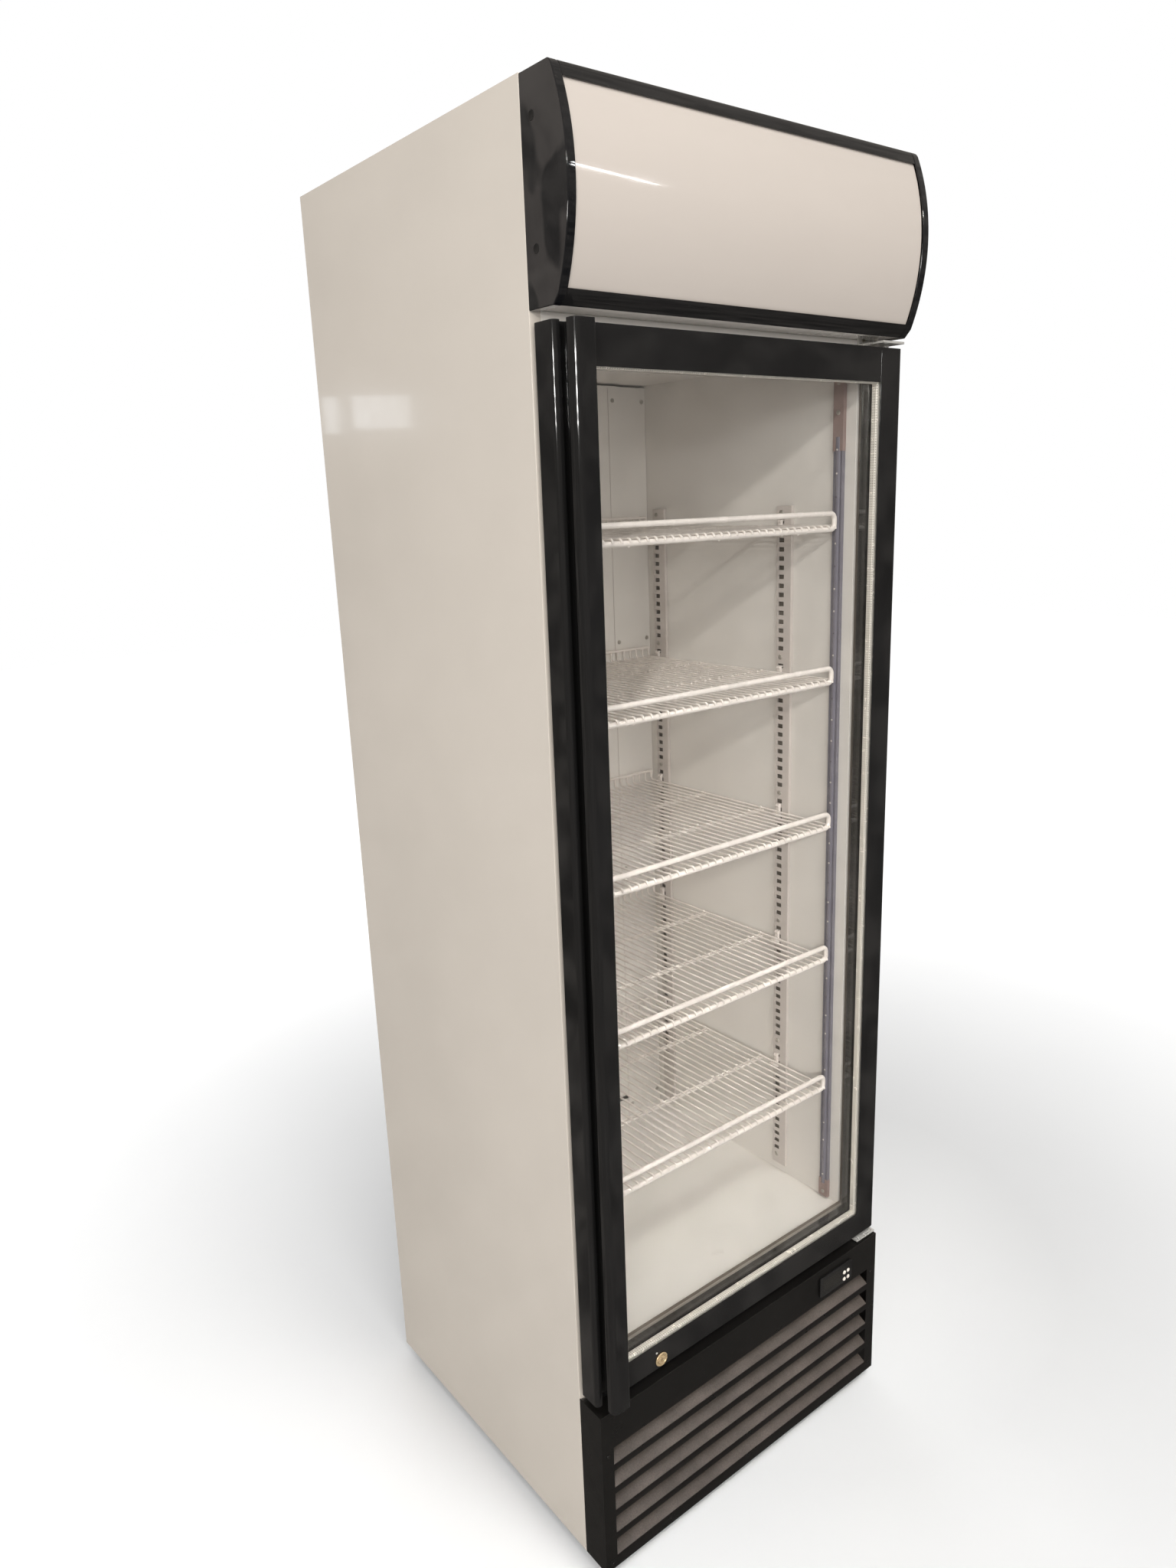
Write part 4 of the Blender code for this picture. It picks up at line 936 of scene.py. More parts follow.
def shelf_wires():
    """One coated wire shelf; height 0 is the middle of its lower front rail."""
    low, high = local_box("shelf_1")
    front, back = low.y + 0.004, high.y - 0.002
    half = high.x
    bm = bmesh.new()
    reach = half - 0.0045 - 0.0013
    pitch = 2 * reach / (WIRES - 1)
    run = WIRE_RADIUS + 0.0034
    fence = high.z - low.z - 0.004 - 0.0045
    cross = [front + (back - front) * share for share in (1 / 3, 2 / 3)]
    for i in range(WIRES):
        x = -reach + i * pitch
        path = [
            (x, front - 0.0043, 0.0008),
            (x, front - 0.0036, 0.004),
            (x, front - 0.0004, 0.0059),
            (x, front + 0.006, run),
        ]
        path += bend([(x, front + 0.012, run), (x, back, run), (x, back, fence)], 0.0065, 5)
        add_tube(bm, path, WIRE_RADIUS, 8)
    loop = []
    corner, rise, end = 0.0085, 0.023, half - 0.004
    for centre, start in (
        ((end - corner, corner), -90), ((end - corner, rise - corner), 0),
        ((-end + corner, rise - corner), 90), ((-end + corner, corner), 180),
    ):
        loop += [(x, front, z) for x, z in arc(centre, corner, start, start + 90, 8)]
    add_tube(bm, loop, 0.004, 16, closed=True)
    ends = ((-reach, fence - 0.006), (-reach, fence), (reach, fence), (reach, fence - 0.006))
    rail = bend([(x, back, z) for x, z in ends], 0.004)
    add_tube(bm, rail, 0.0026, 10)
    for middle in cross:
        for offset in (-0.003, 0.003):
            ends = (-reach - 0.0004, reach + 0.0004)
            add_tube(bm, [(x, middle + offset, run - WIRE_RADIUS - 0.0017) for x in ends], 0.0019, 8)
        for i in range(WIRES):
            x = -reach + i * pitch
            offset = 0.0033 if i % 2 else -0.0033
            for shift, size in ((offset, 0.003), (-offset, 0.0022)):
                matrix = Matrix.Translation(place(x, middle + shift, run + 0.0004)) @ Matrix.Diagonal(
                    (1, 1.25, 0.75, 1)
                )
                bmesh.ops.create_icosphere(bm, subdivisions=2, radius=size, matrix=matrix)
    for x in (-half * 0.62, half * 0.02, half * 0.66):
        matrix = Matrix.Translation(place(x, front, -0.004)) @ Matrix.Diagonal((1.3, 1, 0.8, 1))
        bmesh.ops.create_icosphere(bm, subdivisions=2, radius=0.0019, matrix=matrix)
    bmesh.ops.translate(bm, vec=-place(0, 0, 0), verts=bm.verts)
    mesh = mesh_from("wire_shelf_coated", bm)
    mesh.materials.append(WIRE_COAT)
    mesh.shade_smooth()
    mesh.set_sharp_from_angle(angle=math.radians(50))
    return mesh


def shelves():
    """Five shelves of one mesh, each on its own body."""
    mesh = shelf_wires()
    levels = []
    for number in range(1, 6):
        node = f"shelf_{number}"
        level = local_box(node)[0].z + 0.004
        levels.append(level)
        piece = linked(f"{node}_wires", mesh)
        piece.location = place(0, 0, level)
        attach(piece, node)
        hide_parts(node)
    shelf_clips(levels)


def led_strip():
    """Extruded lamp with a domed lens, its row of chips, end plugs and screwed brackets."""
    low, high = local_box("led_strip")
    wall = high.x
    near, far = low.y + 0.001, high.y - 0.001
    body = [
        (wall, near), (wall, far), (wall - 0.0058, far), (wall - 0.0062, far - 0.0006),
        (wall - 0.0062, far - 0.003), (wall - 0.0052, far - 0.0034), (wall - 0.0052, near + 0.0034),
        (wall - 0.0062, near + 0.003), (wall - 0.0062, near + 0.0006), (wall - 0.0058, near),
    ]
    span = (0.36, 1.62)
    bm = bmesh.new()
    add_prism(bm, body, span, "XY")
    finish_mesh("led_channel", bm, LED_BODY, "led_strip", ["led_strip"], bevel=0.0002)
    bm = bmesh.new()
    middle = (near + far) / 2
    dome = [(wall - 0.005 - 0.0032 * math.cos(t), middle + 0.0048 * math.sin(t)) for t in
            (math.radians(-80 + 160 * i / 10) for i in range(11))]
    add_prism(bm, dome, (span[0] + 0.004, span[1] - 0.004), "XY")
    finish_mesh("led_lens", bm, LED_LENS, "led_strip", sharp=40)
    bm = bmesh.new()
    count = 37
    for i in range(count):
        level = span[0] + 0.022 + i * (span[1] - span[0] - 0.044) / (count - 1)
        resistor = i % 3 == 1
        radius = 0.0011 if resistor else 0.0015
        profile = [(radius, 0.0), (radius, 0.0003), (radius * 0.6, 0.0006), (0.0, 0.0007)]
        add_turned(bm, profile, (wall - 0.0081, middle, level), "-X", 14, 1 if resistor else 0)
    finish_mesh("led_chips", bm, [BUTTON_PLASTIC, BLACK_AND_HOLE_SHADE], "led_strip")
    bm = bmesh.new()
    for bottom, top in ((0.338, 0.372), (1.596, 1.705)):
        loop = rounded_rectangle((low.y + 0.0002, bottom), (high.y - 0.0002, top), 0.0018, 3)
        add_prism(bm, loop, (wall - 0.0071, wall - 0.0059), "YZ")
        add_box(bm, (wall - 0.006, low.y + 0.0002, bottom), (wall - 0.0001, low.y + 0.0012, top))
        add_box(bm, (wall - 0.006, high.y - 0.0012, bottom), (wall - 0.0001, high.y - 0.0002, top))
    finish_mesh("led_brackets", bm, LED_END, "led_strip", bevel=0.0003)
    bm = bmesh.new()
    for level in (0.347, 1.65, 1.692):
        add_screw(bm, (wall - 0.0071, middle, level), "-X", 0.0036, 0.0012)
    finish_mesh("led_screws", bm, SCREW_STEEL, "steel")


# ---------------------------------------------------------------- canopy

ARC_RADIUS = 0.276
ARC_CENTRE = (ARC_RADIUS + local_box("canopy_end_cap_left")[0].y, 1.866)
ARC_STEPS = 48


def canopy_arc(depth_in, low, high, steps=ARC_STEPS):
    """Part of the canopy's curved front, some way inside its outer face."""
    radius = ARC_RADIUS - depth_in
    start = 180 + math.degrees(math.asin((ARC_CENTRE[1] - low) / radius))
    end = 180 - math.degrees(math.asin((high - ARC_CENTRE[1]) / radius))
    return arc(ARC_CENTRE, radius, start, end, steps)


CAP_SCREWS = ((-0.02, 1.934), (-0.019, 1.805))
CAP_HOLE = 0.0043
CAP_WALL = 0.0025


def end_caps():
    """Hollow moulded caps, each with two sunk screws."""
    for side, sign in (("left", -1), ("right", 1)):
        node = f"canopy_end_cap_{side}"
        low, high = local_box(node)
        outer, inner = sorted((low.x, high.x), key=abs, reverse=True)
        bottom, top = low.z, high.z
        loop = [
            (high.y, bottom), (-0.0457, bottom), *canopy_arc(0.0, bottom + 0.0106, top - 0.0055),
            (-0.0545, top - 0.002), (-0.051, top), (high.y, top),
        ]
        bm, cutter = bmesh.new(), bmesh.new()
        add_prism(bm, loop, (outer, inner), "YZ")
        add_prism(cutter, inset(loop, CAP_WALL), (outer - sign * CAP_WALL, inner - sign * 0.004), "YZ")
        for depth, level in CAP_SCREWS:
            add_turned(cutter, [(CAP_HOLE, -0.01), (CAP_HOLE, 0.01)], (outer, depth, level), "X", 28)
        mesh = carved(f"end_cap_{side}", bm, cutter)
        finish_piece(
            f"end_cap_{side}", mesh, BLACK_GLOSS, "black_gloss", [node], sharp=32, bevel=0.0014,
            segments=4,
        )
        bm = bmesh.new()
        for depth, level in CAP_SCREWS:
            axis = "X" if sign > 0 else "-X"
            screw = (outer - sign * 0.0062, depth, level)
            add_screw(bm, screw, axis, 0.0036, 0.0018)
            ring = [(CAP_HOLE, 0.0), (0.0049, 0.0003), (0.0054, 0.0), (0.0054, -0.0002), (CAP_HOLE, -0.0002)]
            add_turned(bm, ring, (outer, depth, level), axis, 28)
            tube = [(0.0058, -0.009), (0.0058, -0.0024), (0.0044, -0.0024), (0.0044, -0.009)]
            add_turned(bm, tube, (outer, depth, level), axis, 20)
        finish_mesh(f"end_cap_{side}_screws", bm, BLACK_PAINT, "black_paint")


def canopy_front():
    """Bent sign sheet without lettering, the rails that hold it, and the light box behind."""
    low, high = local_box("canopy_sign_panel")
    span = (low.x, high.x)
    bm = bmesh.new()
    add_prism(bm, offset_strip(canopy_arc(0.003, 1.7595, 1.971), -0.003), span, "YZ")
    finish_mesh("sign_panel", bm, ACRYLIC, "sign_acrylic", ["canopy_sign_panel"], bevel=0.0004)
    top = [
        *canopy_arc(0.0005, 1.962, 1.9735, 5), (-0.0552, 1.9762), (-0.054, 1.9774), (-0.052, 1.9785),
        (-0.001, 1.9785),
    ]
    bm = bmesh.new()
    add_prism(bm, offset_strip(top, -0.002), span, "YZ")
    finish_mesh("top_rail", bm, BLACK_PROFILE, "black_profile", ["canopy_top_rail"], bevel=0.0005)
    bottom = [(-0.044, 1.7447), *canopy_arc(0.0005, 1.7555, 1.7605, 3)]
    bm = bmesh.new()
    add_prism(bm, offset_strip(bottom, -0.002), span, "YZ")
    finish_mesh("bottom_rail", bm, BLACK_PROFILE, "black_profile", ["canopy_bottom_rail"], bevel=0.0005)
    keep("canopy_light_box", WHITE_PAINT, 0.0004)


LAMP_AXIS = (-0.028, 1.86)


def lamp():
    """Fluorescent tube with metal caps in two holders on a painted batten."""
    low, high = local_box("canopy_lamp")
    depth, level = LAMP_AXIS
    radius = (high.z - low.z) / 2 - 0.0002
    end = high.x
    bm = bmesh.new()
    inner = end - 0.022
    profile = [(0.0, -inner), (radius - 0.002, -inner), (radius, -inner + 0.002), (radius, inner - 0.002),
               (radius - 0.002, inner), (0.0, inner)]
    add_turned(bm, profile, (0.0, depth, level), "X", 32)
    finish_mesh("lamp_tube", bm, LAMP_GLASS, "lamp", ["canopy_lamp"])
    bm = bmesh.new()
    for sign, axis in ((-1, "-X"), (1, "X")):
        cap = [
            (0.0, -0.003), (radius * 0.985, -0.003), (radius * 0.985, 0.01), (radius * 0.8, 0.012),
            (0.0, 0.012),
        ]
        add_turned(bm, cap, (sign * (inner - 0.001), depth, level), axis, 32)
    finish_mesh("lamp_caps", bm, ALUMINIUM, "aluminium")
    bm = bmesh.new()
    add_box(bm, (-end, -0.015, 1.85), (end, -0.0078, 1.87))
    for sign in (-1, 1):
        left, right = sorted((sign * (end - 0.011), sign * end))
        add_box(bm, (left, -0.04, 1.851), (right, -0.014, 1.869))
    finish_mesh("lamp_batten", bm, WHITE_PAINT, "white_paint", bevel=0.001)


# ---------------------------------------------------------------- hinges


def hinges():
    """Plated brackets and their hexagon bolts."""
    for where in ("top", "bottom"):
        keep(f"hinge_bracket_{where}", PLATED, 0.0005)
    bm = bmesh.new()
    face = -0.0034
    for x, level in (
        (0.272, 1.748), (0.288, 1.763), (0.272, 1.767), (0.276, 0.256), (0.298, 0.256), (0.287, 0.27),
    ):
        add_turned(bm, [(0.0052, 0.0), (0.0052, 0.0006), (0.0036, 0.0008)], (x, face, level), "-Y", 20)
        add_hex(bm, (x, face - 0.0007, level), 0.0065, 0.003, "-Y")
    finish_mesh("hinge_bolts", bm, STUD_ZINC, "steel")


# ---------------------------------------------------------------- door


def door_frame():
    """The four profiles of the door and its handle."""
    for node in ("door_stile_left", "door_stile_right", "door_rail_top", "door_rail_bottom"):
        keep(node, BLACK_PROFILE, 0.0007, 3)
    keep("door_handle", BLACK_PROFILE, 0.0009, 3)


def glazing():
    """Two panes, the spacer frame between them and its corner keys."""
    keep("outer_glass", GLASS, 0.0003, 1)
    keep("inner_glass", GLASS, 0.0003, 1)
    low, high = local_box("glass_spacer")
    near, far = low.y, high.y
    wide = 0.009
    profile = [
        (0.0, near), (0.0, far), (wide - 0.0016, far), (wide, far - 0.0016), (wide, near + 0.0016),
        (wide - 0.0016, near),
    ]
    bm = bmesh.new()
    add_ring(bm, profile, (low.x, low.z), (high.x, high.z))
    finish_mesh("spacer_bar", bm, SPACER_METAL, "aluminium", ["glass_spacer"], bevel=0.0003, body="door")
    bm = bmesh.new()
    for x, z in ((low.x, low.z), (high.x, low.z), (high.x, high.z), (low.x, high.z)):
        a, b = math.copysign(wide - 0.0012, -x), (wide - 0.0012) * (1 if z < 1 else -1)
        left, right = sorted((x + a, x + a * 2.4))
        bottom, top = sorted((z + b, z + b * 1.12))
        add_box(bm, (left, near + 0.0022, bottom), (right, far - 0.0022, top))
    finish_mesh("spacer_corner_keys", bm, ALUMINIUM, "aluminium", bevel=0.0003, body="door")


def gasket():
    """Magnetic seal: a hollow-looking bulb against the cabinet, bellows folds and a barbed root."""
    low, high = local_box("door_gasket")
    near, far = low.y, high.y
    profile = [
        (0.0012, far - 0.0004), (0.0004, far - 0.0014), (0.0004, near + 0.0036), (0.0022, near + 0.0026),
        (0.003, near + 0.0002), (0.006, near), (0.015, near), (0.017, near + 0.0002), (0.0178, near + 0.0022),
        (0.016, near + 0.0034), (0.0196, near + 0.0046), (0.02, far - 0.0018), (0.019, far - 0.0004),
        (0.016, far), (0.012, far - 0.0006), (0.008, far), (0.003, far),
    ]
    bm = bmesh.new()
    add_ring(bm, profile, (low.x, low.z), (high.x, high.z))
    finish_mesh(
        "gasket", bm, GASKET_GREY, "gasket_rubber", ["door_gasket"], sharp=50, bevel=0.0003, body="door",
    )
    # The lip carries the gasket rubber in a darker, painted-shade tone.
    lip = [
        (0.019, far - 0.0014), (0.0228, far - 0.0002), (0.024, far - 0.001), (0.0238, far - 0.0016),
        (0.019, far - 0.003),
    ]
    bm = bmesh.new()
    add_ring(bm, lip, (low.x, low.z), (high.x, high.z))
    finish_mesh("gasket_lip", bm, GASKET_LIP_SHADED, "gasket_rubber", sharp=50, body="door")


LOCK_X, LOCK_LEVEL = -0.188, 0.305


def lock():
    """Cam lock: domed bezel and barrel on the door, plug with keyway and cam that turn."""
    low, high = local_box("lock_housing")
    bm, cutter = bmesh.new(), bmesh.new()
    flange = [
        (0.0, 0.0), (0.0092, 0.0), (0.0092, high.y - low.y - 0.002), (0.0105, high.y - low.y - 0.0018),
        (0.0112, high.y - low.y - 0.001), (0.0108, high.y - low.y - 0.0003),
        (0.0096, high.y - low.y + 0.0004),
        (0.0084, high.y - low.y + 0.0002), (0.0078, high.y - low.y - 0.0006), (0.0, high.y - low.y - 0.0006),
    ]
    add_turned(bm, flange, (LOCK_X, high.y, LOCK_LEVEL), "-Y", 48)
    add_turned(cutter, [(0.0072, -0.01), (0.0072, 0.06)], (LOCK_X, high.y, LOCK_LEVEL), "-Y", 48)
    mesh = carved("lock_barrel", bm, cutter)
    finish_piece(
        "lock_barrel", mesh, NICKEL, "nickel", ["lock_housing"], sharp=30, bevel=0.0002, segments=1,
        body="door",
    )
    bm, cutter = bmesh.new(), bmesh.new()
    plug_low, plug_high = local_box("lock_plug")
    length = plug_high.y - plug_low.y
    face = [(0.0, 0.0), (0.0069, 0.0), (0.0069, length - 0.0008), (0.0062, length - 0.0002), (0.0, length)]
    add_turned(bm, face, (LOCK_X, plug_high.y, LOCK_LEVEL), "-Y", 48)
    front = plug_low.y
    keyway = [
        (-0.0007, -0.0036), (0.0007, -0.0036), (0.0007, 0.0036), (-0.0007, 0.0036),
        (-0.0007, 0.0002), (-0.0016, 0.0002), (-0.0016, -0.0012), (-0.0007, -0.0012),
    ]
    keyway = [(LOCK_X + across, LOCK_LEVEL + up) for across, up in keyway]
    add_prism(cutter, keyway, (front - 0.003, front + 0.01), "XZ")
    mesh = carved("lock_cylinder", bm, cutter)
    finish_piece(
        "lock_cylinder", mesh, NICKEL, "nickel", ["lock_plug"], sharp=30, bevel=0.0002, segments=1,
        body="lock",
    )
    bm = bmesh.new()
    cam = rounded_rectangle(
        (LOCK_X - 0.0085, LOCK_LEVEL - 0.006), (LOCK_X + 0.033, LOCK_LEVEL + 0.006), 0.005, 6,
    )
    add_prism(bm, cam, (plug_high.y - 0.0016, plug_high.y), "XZ")
    finish_mesh("lock_cam", bm, PLATED, "nickel", bevel=0.0002, body="lock")
    bm = bmesh.new()
    add_turned(bm, [(0.0017, 0.0), (0.0017, 0.0004), (0.001, 0.0009), (0.0, 0.001)],
               (LOCK_X - 0.0085, local_box("door_rail_bottom")[0].y, LOCK_LEVEL + 0.0145), "-Y", 16)
    finish_mesh("lock_index_dot", bm, PLATED, "nickel", body="door")


# ---------------------------------------------------------------- base front


GRILLE_SCREW_X = 0.2985
GRILLE_SCREW_LEVEL, GRILLE_HOLE_LEVEL = 0.206, 0.014


def grille():
    """Louvred panel with two screws at the top and two empty holes below."""
    keep("front_grille", GRILLE_PAINT, 0.0005, 2)
    face = local_box("front_grille")[0].y
    bm = bmesh.new()
    for x in (-GRILLE_SCREW_X, GRILLE_SCREW_X):
        add_screw(bm, (x, face, GRILLE_SCREW_LEVEL), "-Y", 0.003, 0.0014)
        add_turned(
            bm, [(0.0044, 0.0), (0.0044, 0.0005), (0.0032, 0.0007), (0.003, 0.0)],
            (x, face, GRILLE_HOLE_LEVEL), "-Y", 20,
        )
    finish_mesh("grille_screws", bm, BLACK_PAINT, "black_paint")
    # Painted shade: a near-black disc just inside each empty hole's rim stands in for the shade in the hole.
    bm = bmesh.new()
    for x in (-GRILLE_SCREW_X, GRILLE_SCREW_X):
        add_turned(
            bm, [(0.003, 0.0), (0.0029, 0.0003), (0.0, 0.0003)], (x, face, GRILLE_HOLE_LEVEL), "-Y", 20,
        )
    finish_mesh("grille_hole_shade", bm, BLACK_AND_HOLE_SHADE, "black_paint")


BUTTONS = {1: (0.2209, 0.2468), 2: (0.2209, 0.234), 3: (0.2309, 0.2468), 4: (0.2309, 0.234)}


def controller():
    """Thermostat: rounded bezel, recessed display window, four collared push buttons."""
    low, high = local_box("controller_bezel")
    front = low.y
    back = front + 0.003
    bm, cutter = bmesh.new(), bmesh.new()
    add_prism(bm, rounded_rectangle((low.x, low.z), (high.x, high.z), 0.003), (front, back), "XZ")
    window = rounded_rectangle((low.x + 0.008, low.z + 0.007), (low.x + 0.053, high.z - 0.007), 0.0015, 3)
    add_prism(cutter, window, (front - 0.001, front + 0.0008), "XZ")
    for x, level in BUTTONS.values():
        add_turned(cutter, [(0.0038, -0.002), (0.0038, 0.006)], (x, front, level), "Y", 28)
    mesh = carved("thermostat_bezel", bm, cutter)
    finish_piece(
        "thermostat_bezel", mesh, BLACK_PROFILE, "black_gloss", ["controller_bezel"], sharp=30,
        bevel=0.0006, segments=3,
    )
    bm = bmesh.new()
    shell_low, shell_high = (0.1652, back, 0.231), (0.2358, high.y, 0.2595)
    add_box(bm, shell_low, shell_high)
    add_box(bm, (0.17, high.y - 0.005, 0.234), (0.195, high.y, 0.256))
    finish_mesh("thermostat_case", bm, FOOT_PLASTIC, "black_gloss", bevel=0.001)
    bm = bmesh.new()
    inner = rounded_rectangle((low.x + 0.0083, low.z + 0.0073), (low.x + 0.0527, high.z - 0.0073), 0.0013, 3)
    add_prism(bm, inner, (front + 0.0003, front + 0.0012), "XZ")
    finish_mesh("thermostat_window", bm, DISPLAY, "black_gloss", bevel=0.0002)
    bm = bmesh.new()
    for x, level in BUTTONS.values():
        ring = [
            (0.0038, 0.0), (0.0038, 0.0004), (0.0042, 0.0007), (0.0047, 0.0004), (0.0048, -0.0002),
            (0.0038, -0.0002),
        ]
        add_turned(bm, ring, (x, front, level), "-Y", 32)
    finish_mesh("button_collars", bm, BLACK_PROFILE, "black_gloss")
    for number, (x, level) in BUTTONS.items():
        node_low, node_high = local_box(f"button_{number}")
        length = node_high.y - node_low.y
        cap = [
            (0.0, 0.0), (0.0033, 0.0), (0.0034, 0.0004), (0.0034, length - 0.0009),
            (0.003, length - 0.0003), (0.0018, length), (0.0, length - 0.0001),
        ]
        bm = bmesh.new()
        add_turned(bm, cap, (x, node_high.y, level), "-Y", 32)
        finish_mesh(
            f"button_{number}_cap", bm, BUTTON_PLASTIC, "button_white", [f"button_{number}"],
            body=f"button_{number}",
        )


# ---------------------------------------------------------------- machine compartment

COMPRESSOR = (0.13, 0.4)


def feet():
    """Ribbed plastic pads on threaded stems."""
    for name in ("front_left", "front_right", "rear_left", "rear_right"):
        node = f"foot_{name}"
        low, high = local_box(node)
        x, depth = (low.x + high.x) / 2, (low.y + high.y) / 2
        bm = bmesh.new()
        outline = (
            (0.0, 0.0), (0.0172, 0.0), (0.018, 0.0008), (0.018, 0.0045), (0.0168, 0.0062),
            (0.012, 0.0092), (0.0108, 0.011), (0.0, 0.011),
        )
        pad = [(reach, low.z + up) for reach, up in outline]
        add_turned(bm, pad, (x, depth, 0.0), "Z", 36)
        for k in range(24):
            angle = math.tau * k / 24
            reach = 0.0176
            spot = (x + reach * math.cos(angle), depth + reach * math.sin(angle))
            add_turned(bm, [(0.0009, low.z + 0.0012), (0.0009, low.z + 0.0042)], (*spot, 0.0), "Z", 6)
        finish_mesh(f"{node}_pad", bm, FOOT_PLASTIC, "foot_plastic", [node], body=node)
        bm = bmesh.new()
        add_hex(bm, (x, depth, -0.0088), 0.0165, 0.0085)
        stem = [(0.0, -0.0092)]
        turns = 22
        for k in range(turns):
            level = -0.009 + k * (high.z + 0.008) / turns
            stem += [(0.0034, level), (0.004, level + 0.0006)]
        stem += [(0.0034, high.z - 0.0006), (0.003, high.z), (0.0, high.z)]
        add_turned(bm, stem, (x, depth, 0.0), "Z", 24)
        finish_mesh(f"{node}_stem", bm, STUD_ZINC, "steel", body=node, sharp=25)


COMPRESSOR_STUDS = [(a, b) for a in (-0.088, 0.078) for b in (-0.058, 0.058)]


def compressor():
    """Welded can on its plate, with grommets, studs, terminal box and pipe stubs."""
    x, depth = COMPRESSOR
    keep_out = local_box("compressor")[1].z
    bm = bmesh.new()
    can = [
        (0.0, 0.014), (0.052, 0.015), (0.064, 0.019), (0.0715, 0.03), (0.0745, 0.046), (0.0748, 0.092),
        (0.0758, 0.094),
        (0.077, 0.0945), (0.077, 0.0985), (0.0758, 0.099), (0.0746, 0.101), (0.074, 0.13), (0.0715, 0.15),
        (0.065, 0.168), (0.054, 0.18), (0.038, 0.1872), (0.018, keep_out - 0.0006), (0.0, keep_out - 0.0002),
    ]
    add_turned(bm, can, (x, depth, 0.0), "Z", 64)
    finish_mesh("compressor_can", bm, BLACK_GLOSS, "black_gloss", ["compressor"], sharp=50)
    bm = bmesh.new()
    plate = rounded_rectangle((x - 0.1, depth - 0.07), (x + 0.09, depth + 0.07), 0.012)
    add_prism(bm, plate, (0.0135, 0.0165), "XY")
    for a in (-0.044, 0.044):
        add_box(bm, (x - 0.098, depth + a - 0.004, 0.016), (x + 0.088, depth + a + 0.004, 0.0215))
    finish_mesh("compressor_plate", bm, BLACK_PAINT, "black_paint", bevel=0.0008)
    bm = bmesh.new()
    grommet = [
        (0.0045, 0.0022), (0.01, 0.0022), (0.0108, 0.004), (0.0108, 0.0085), (0.008, 0.0098),
        (0.008, 0.0118), (0.0098, 0.0132), (0.0045, 0.0134),
    ]
    for a, b in COMPRESSOR_STUDS:
        add_turned(bm, grommet, (x + a, depth + b, 0.0), "Z", 28)
    finish_mesh("compressor_grommets", bm, FOOT_PLASTIC, "gasket_rubber")
    bm = bmesh.new()
    stud = [(0.0034, 0.0022), (0.0034, 0.02), (0.0028, 0.0212), (0.0, 0.0212)]
    washer = [(0.009, 0.0166), (0.009, 0.0174), (0.004, 0.0176)]
    for a, b in COMPRESSOR_STUDS:
        add_turned(bm, stud, (x + a, depth + b, 0.0), "Z", 20)
        add_turned(bm, washer, (x + a, depth + b, 0.0), "Z", 24)
        add_hex(bm, (x + a, depth + b, 0.0175), 0.01, 0.003)
    finish_mesh("compressor_studs", bm, STUD_ZINC, "steel")
    bm = bmesh.new()
    box_loop = rounded_rectangle((depth - 0.03, 0.06), (depth + 0.03, 0.12), 0.006)
    add_prism(bm, box_loop, (x + 0.062, x + 0.094), "YZ")
    finish_mesh("compressor_terminal_box", bm, FOOT_PLASTIC, "black_paint", bevel=0.0015)
    bm = bmesh.new()
    for route in (
        [(x - 0.076, depth - 0.004, 0.12), (x - 0.066, depth - 0.004, 0.12)],
        bend([
            (x - 0.03, depth - 0.066, 0.105), (x - 0.034, depth - 0.094, 0.105),
            (x - 0.034, depth - 0.1, 0.15),
        ], 0.01),
    ):
        add_tube(bm, route, 0.0045, 16)
    finish_mesh("compressor_stubs", bm, COPPER, "copper")


def fins(name, low, high, pitch, thickness, mat, slot, stands_for=()):
    """A stack of thin plates."""
    bm = bmesh.new()
    count = int((high[0] - low[0] - thickness) / pitch) + 1
    step = (high[0] - low[0] - thickness) / (count - 1)
    for i in range(count):
        left = low[0] + i * step
        add_box(bm, (left, low[1], low[2]), (left + thickness, high[1], high[2]))
    finish_mesh(name, bm, mat, slot, stands_for)


def serpentine(bm, left, right, rows, depths, radius):
    """Straight tubes across the fins with a return bend at alternate ends."""
    for column, depth in enumerate(depths):
        path = []
        for i, level in enumerate(rows if column % 2 == 0 else list(reversed(rows))):
            ends = (left, right) if i % 2 == 0 else (right, left)
            path += [(ends[0], depth, level), (ends[1], depth, level)]
        smooth = [path[0]]
        for i in range(1, len(path) - 1, 2):
            a, b = path[i], path[i + 1]
            out = math.copysign(abs(b[2] - a[2]) / 2, a[0] - (left + right) / 2)
            turn = -90 if b[2] > a[2] else 90
            for k in range(9):
                angle = math.radians(turn + (180 if turn < 0 else -180) * k / 8)
                smooth.append(
                    (a[0] + out * math.cos(angle), depth, (a[2] + b[2]) / 2 + abs(out) * math.sin(angle))
                )
        smooth.append(path[-1])
        add_tube(bm, smooth, radius, 10)


